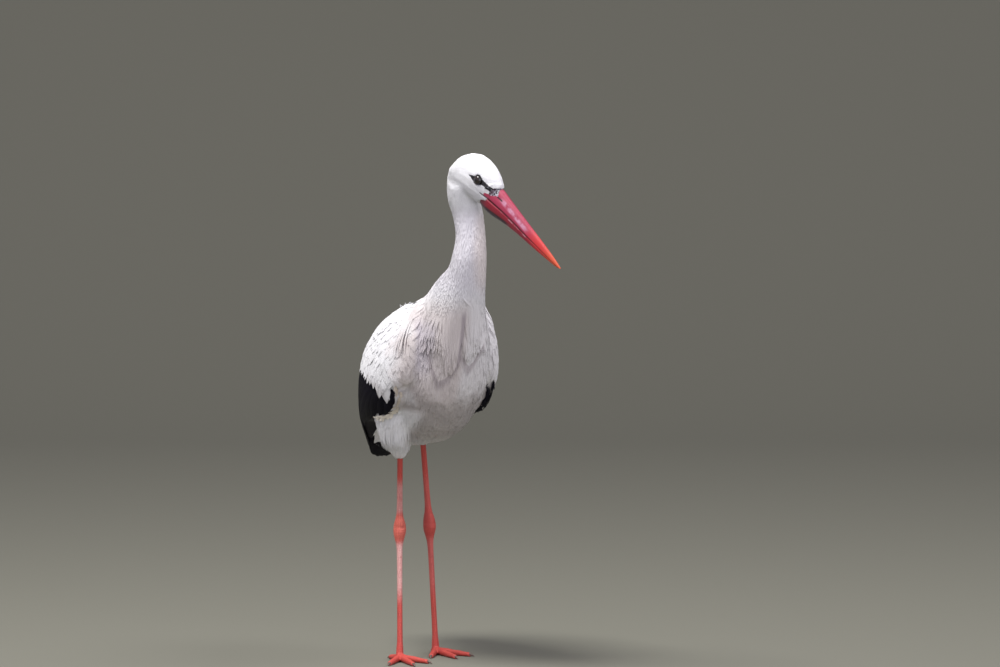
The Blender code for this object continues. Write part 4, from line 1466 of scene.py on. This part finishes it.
def build_plumage(white, black, cream):
    def short(points, chance):
        """Feather length on the head: shortest by the bill and eye."""
        ahead = in_head(points)[0]
        return (0.0034 + 0.0048 * smoothstep(0.0, -0.060, ahead)) * (0.85 + 0.3 * chance)

    tract("head_feathers", face_area, 0.00100, 11, lie_head, short,
          (0.00042, 0.00062), 4, SPINDLE, 0.00022, 0.00025, white, "white_feather",
          mesh=head_outline, tree=HEAD_TREE, unwrap=unwrap_head, taper=[0.6, 1.0, 0.8, 0.0], sway=0.10,
          depth=COAT_HEAD)
    tract("neck_feathers", neck_area, 0.00175, 12, lie_body, (0.012, 0.018),
          (0.0013, 0.0018), 6, SPINDLE, 0.00025, 0.00035, white, "neck_feather",
          taper=[0.5, 0.95, 1.0, 0.85, 0.5, 0.0])
    tract("breast_plumes", breast_area, 0.0036, 13, lie_body, (0.034, 0.056),
          (0.0030, 0.0044), 8, VANE, 0.0003, 0.0004, white, "breast_feather", taper=LANCE)
    tract("breast_lobes", lobe_area, 0.0028, 21, lie_lobes, lobe_length,
          (0.0022, 0.0036), 11, VANE, 0.0005, 0.0040, white, "breast_feather",
          taper=[0.3, 0.75, 0.95, 1.0, 1.0, 0.95, 0.85, 0.70, 0.50, 0.28, 0.02], sway=0.07, droop=0.10)
    tract("belly_feathers", belly_area, 0.0040, 14, lie_belly, (0.024, 0.036),
          (0.0034, 0.0048), 7, VANE, 0.0003, 0.0004, white, "breast_feather",
          taper=[0.35, 0.85, 1.0, 0.9, 0.7, 0.4, 0.02], sway=0.20)
    tract("mantle", back_area, 0.0056, 15, lie_body, (0.032, 0.046),
          (0.0080, 0.0105), 8, VANE, 0.0005, 0.0005, white, "white_feather", taper=ROUND,
          sway=0.06, droop=0.04, steady=0.86)

    def fringe(points, chance):
        """Trousers hang from the flank to a ragged edge above the bare shank."""
        x, _, z = stance(points)
        low = np.where(x < 0, 0.331, 0.343)
        return np.clip(z - low - 0.012 * chance ** 2, 0.016, 0.052)

    for n, side in enumerate(SIDES):
        tract("trousers_" + side, thigh_area(side), 0.0025, 16 + n,
              lie_thigh(side), fringe, (0.0018, 0.0030), 8, SPINDLE, 0.0004, 0.0012,
              white, "white_feather", unwrap=unwrap_post,
              taper=[0.4, 0.9, 1.0, 1.0, 0.85, 0.6, 0.35, 0.02], sway=0.10, loose=0.62)
        wing_coverts(side, white)
        flight_feathers(side, black)
        edge_feathers(side, cream if side == "right" else black)
    tail_feathers(white)
    stray_feather(white)
    tract("wing_tips", tip_area, 0.0060, 24, lie_tips, (0.022, 0.034), (0.0040, 0.0056), 8,
          VANE, 0.0008, 0.0012, black, "black_feather", taper=LANCE, sway=0.05, droop=0.06)
    tract("tail_coverts", tail_area, 0.0056, 20, lie_body, (0.024, 0.034),
          (0.0036, 0.0052), 7, VANE, 0.0007, 0.0010, white, "white_feather",
          taper=[0.35, 0.85, 1.0, 1.0, 0.85, 0.5, 0.03], droop=0.1)


# ------------------------------------------------------------------- studio
def studio():
    """Pale seamless floor, soft lights, and a long lens at the bird's front right."""
    scene = bpy.context.scene
    turns = np.linspace(0, math.pi / 2, 17)
    back, bend, wide = 3.2, 1.6, 6.0
    line = [(-9.0, 0.0)] + [(back + bend * math.sin(a),
                             bend * (1 - math.cos(a))) for a in turns] + [(back + bend, 7.0)]
    turn = Matrix.Rotation(math.radians(-20), 3, "Z")
    verts = [turn @ Vector((x, y, z)) for y, z in line for x in (-wide, wide)]
    faces = np.array([(2 * k, 2 * k + 1, 2 * k + 3, 2 * k + 2) for k in range(len(line) - 1)])
    floor = new_object("studio_floor", mesh_from_arrays("studio_floor", np.array(verts), faces))
    paint = bpy.data.materials.new("studio_floor")
    paint.use_nodes = True
    surface = paint.node_tree.nodes["Principled BSDF"]
    Web(paint.node_tree).dress(surface, {"Base Color": (0.15, 0.15, 0.120), "Roughness": 0.9})
    floor.data.materials.append(paint)

    world = bpy.data.worlds.new("studio")
    world.use_nodes = True
    sky = world.node_tree.nodes["Background"]
    Web(world.node_tree).dress(sky, {"Color": (0.90, 0.87, 1.0), "Strength": 0.56})
    scene.world = world
    scene.view_settings.view_transform = "Standard"
    target = HOME + Vector((0, -0.05, 0.5))
    for name, place, size, power, tint in (
            ("key", Vector((-1.25, -0.35, 3.1)), 1.2, 165, (1.0, 0.975, 0.95)),
            ("fill", Vector((-0.2, -3.0, 0.7)), 2.4, 34, (0.96, 0.93, 1.0)),
            ("rim", Vector((1.7, -0.7, 2.6)), 1.4, 34, (1.0, 0.98, 0.98))):
        lamp = bpy.data.lights.new(name, "AREA")
        lamp.energy = power
        lamp.color = tint
        lamp.size = size
        thing = bpy.data.objects.new(name, lamp)
        scene.collection.objects.link(thing)
        thing.location = target + place
        thing.rotation_euler = (-place).to_track_quat("-Z", "Y").to_euler()

    azimuth, elevation, distance = math.radians(-20), math.radians(6), 40.0
    aim = HOME + Vector((0.141, 0.005, 0.507))
    back_way = Vector((math.sin(azimuth) * math.cos(elevation), -math.cos(azimuth) * math.cos(elevation),
                       math.sin(elevation)))
    lens = bpy.data.cameras.new("camera")
    lens.sensor_width = 36
    lens.lens = 36 * distance / 1.57
    lens.clip_end = 120
    camera = bpy.data.objects.new("camera", lens)
    scene.collection.objects.link(camera)
    camera.location = aim + back_way * distance
    camera.rotation_euler = back_way.to_track_quat("Z", "Y").to_euler()
    scene.camera = camera


# --------------------------------------------------------------------- main
tones = plumage_group()
white, black, horn = white_plumage(tones), black_plumage(), bill_material()
cream = white_plumage(tones, "cream_plumage", (0.95, 0.88, 0.74))
piece("skin", build_skin(), skin_material(tones), "white_feather", *FEATHERED, *HEADED, *LEGS)
piece("upper_bill", mandible("upper_bill", UPPER, 1), horn, "bill_red", "bill_upper")
piece("lower_bill", mandible("lower_bill", LOWER, -1), horn, "bill_red", "bill_lower")
wet, rim = eye_material(), lid_material()
for eye_side, eye_way in SIDES.items():
    piece("eyeball_" + eye_side, eye_mesh(eye_way), wet, "eye_brown", "eye_" + eye_side)
    piece("lids_" + eye_side, lid_mesh(eye_way), rim, "black_feather")
piece("claws", claw_meshes(), horn_material(), "claw_horn",
      *CLAWS)
build_plumage(white, black, cream)
studio()
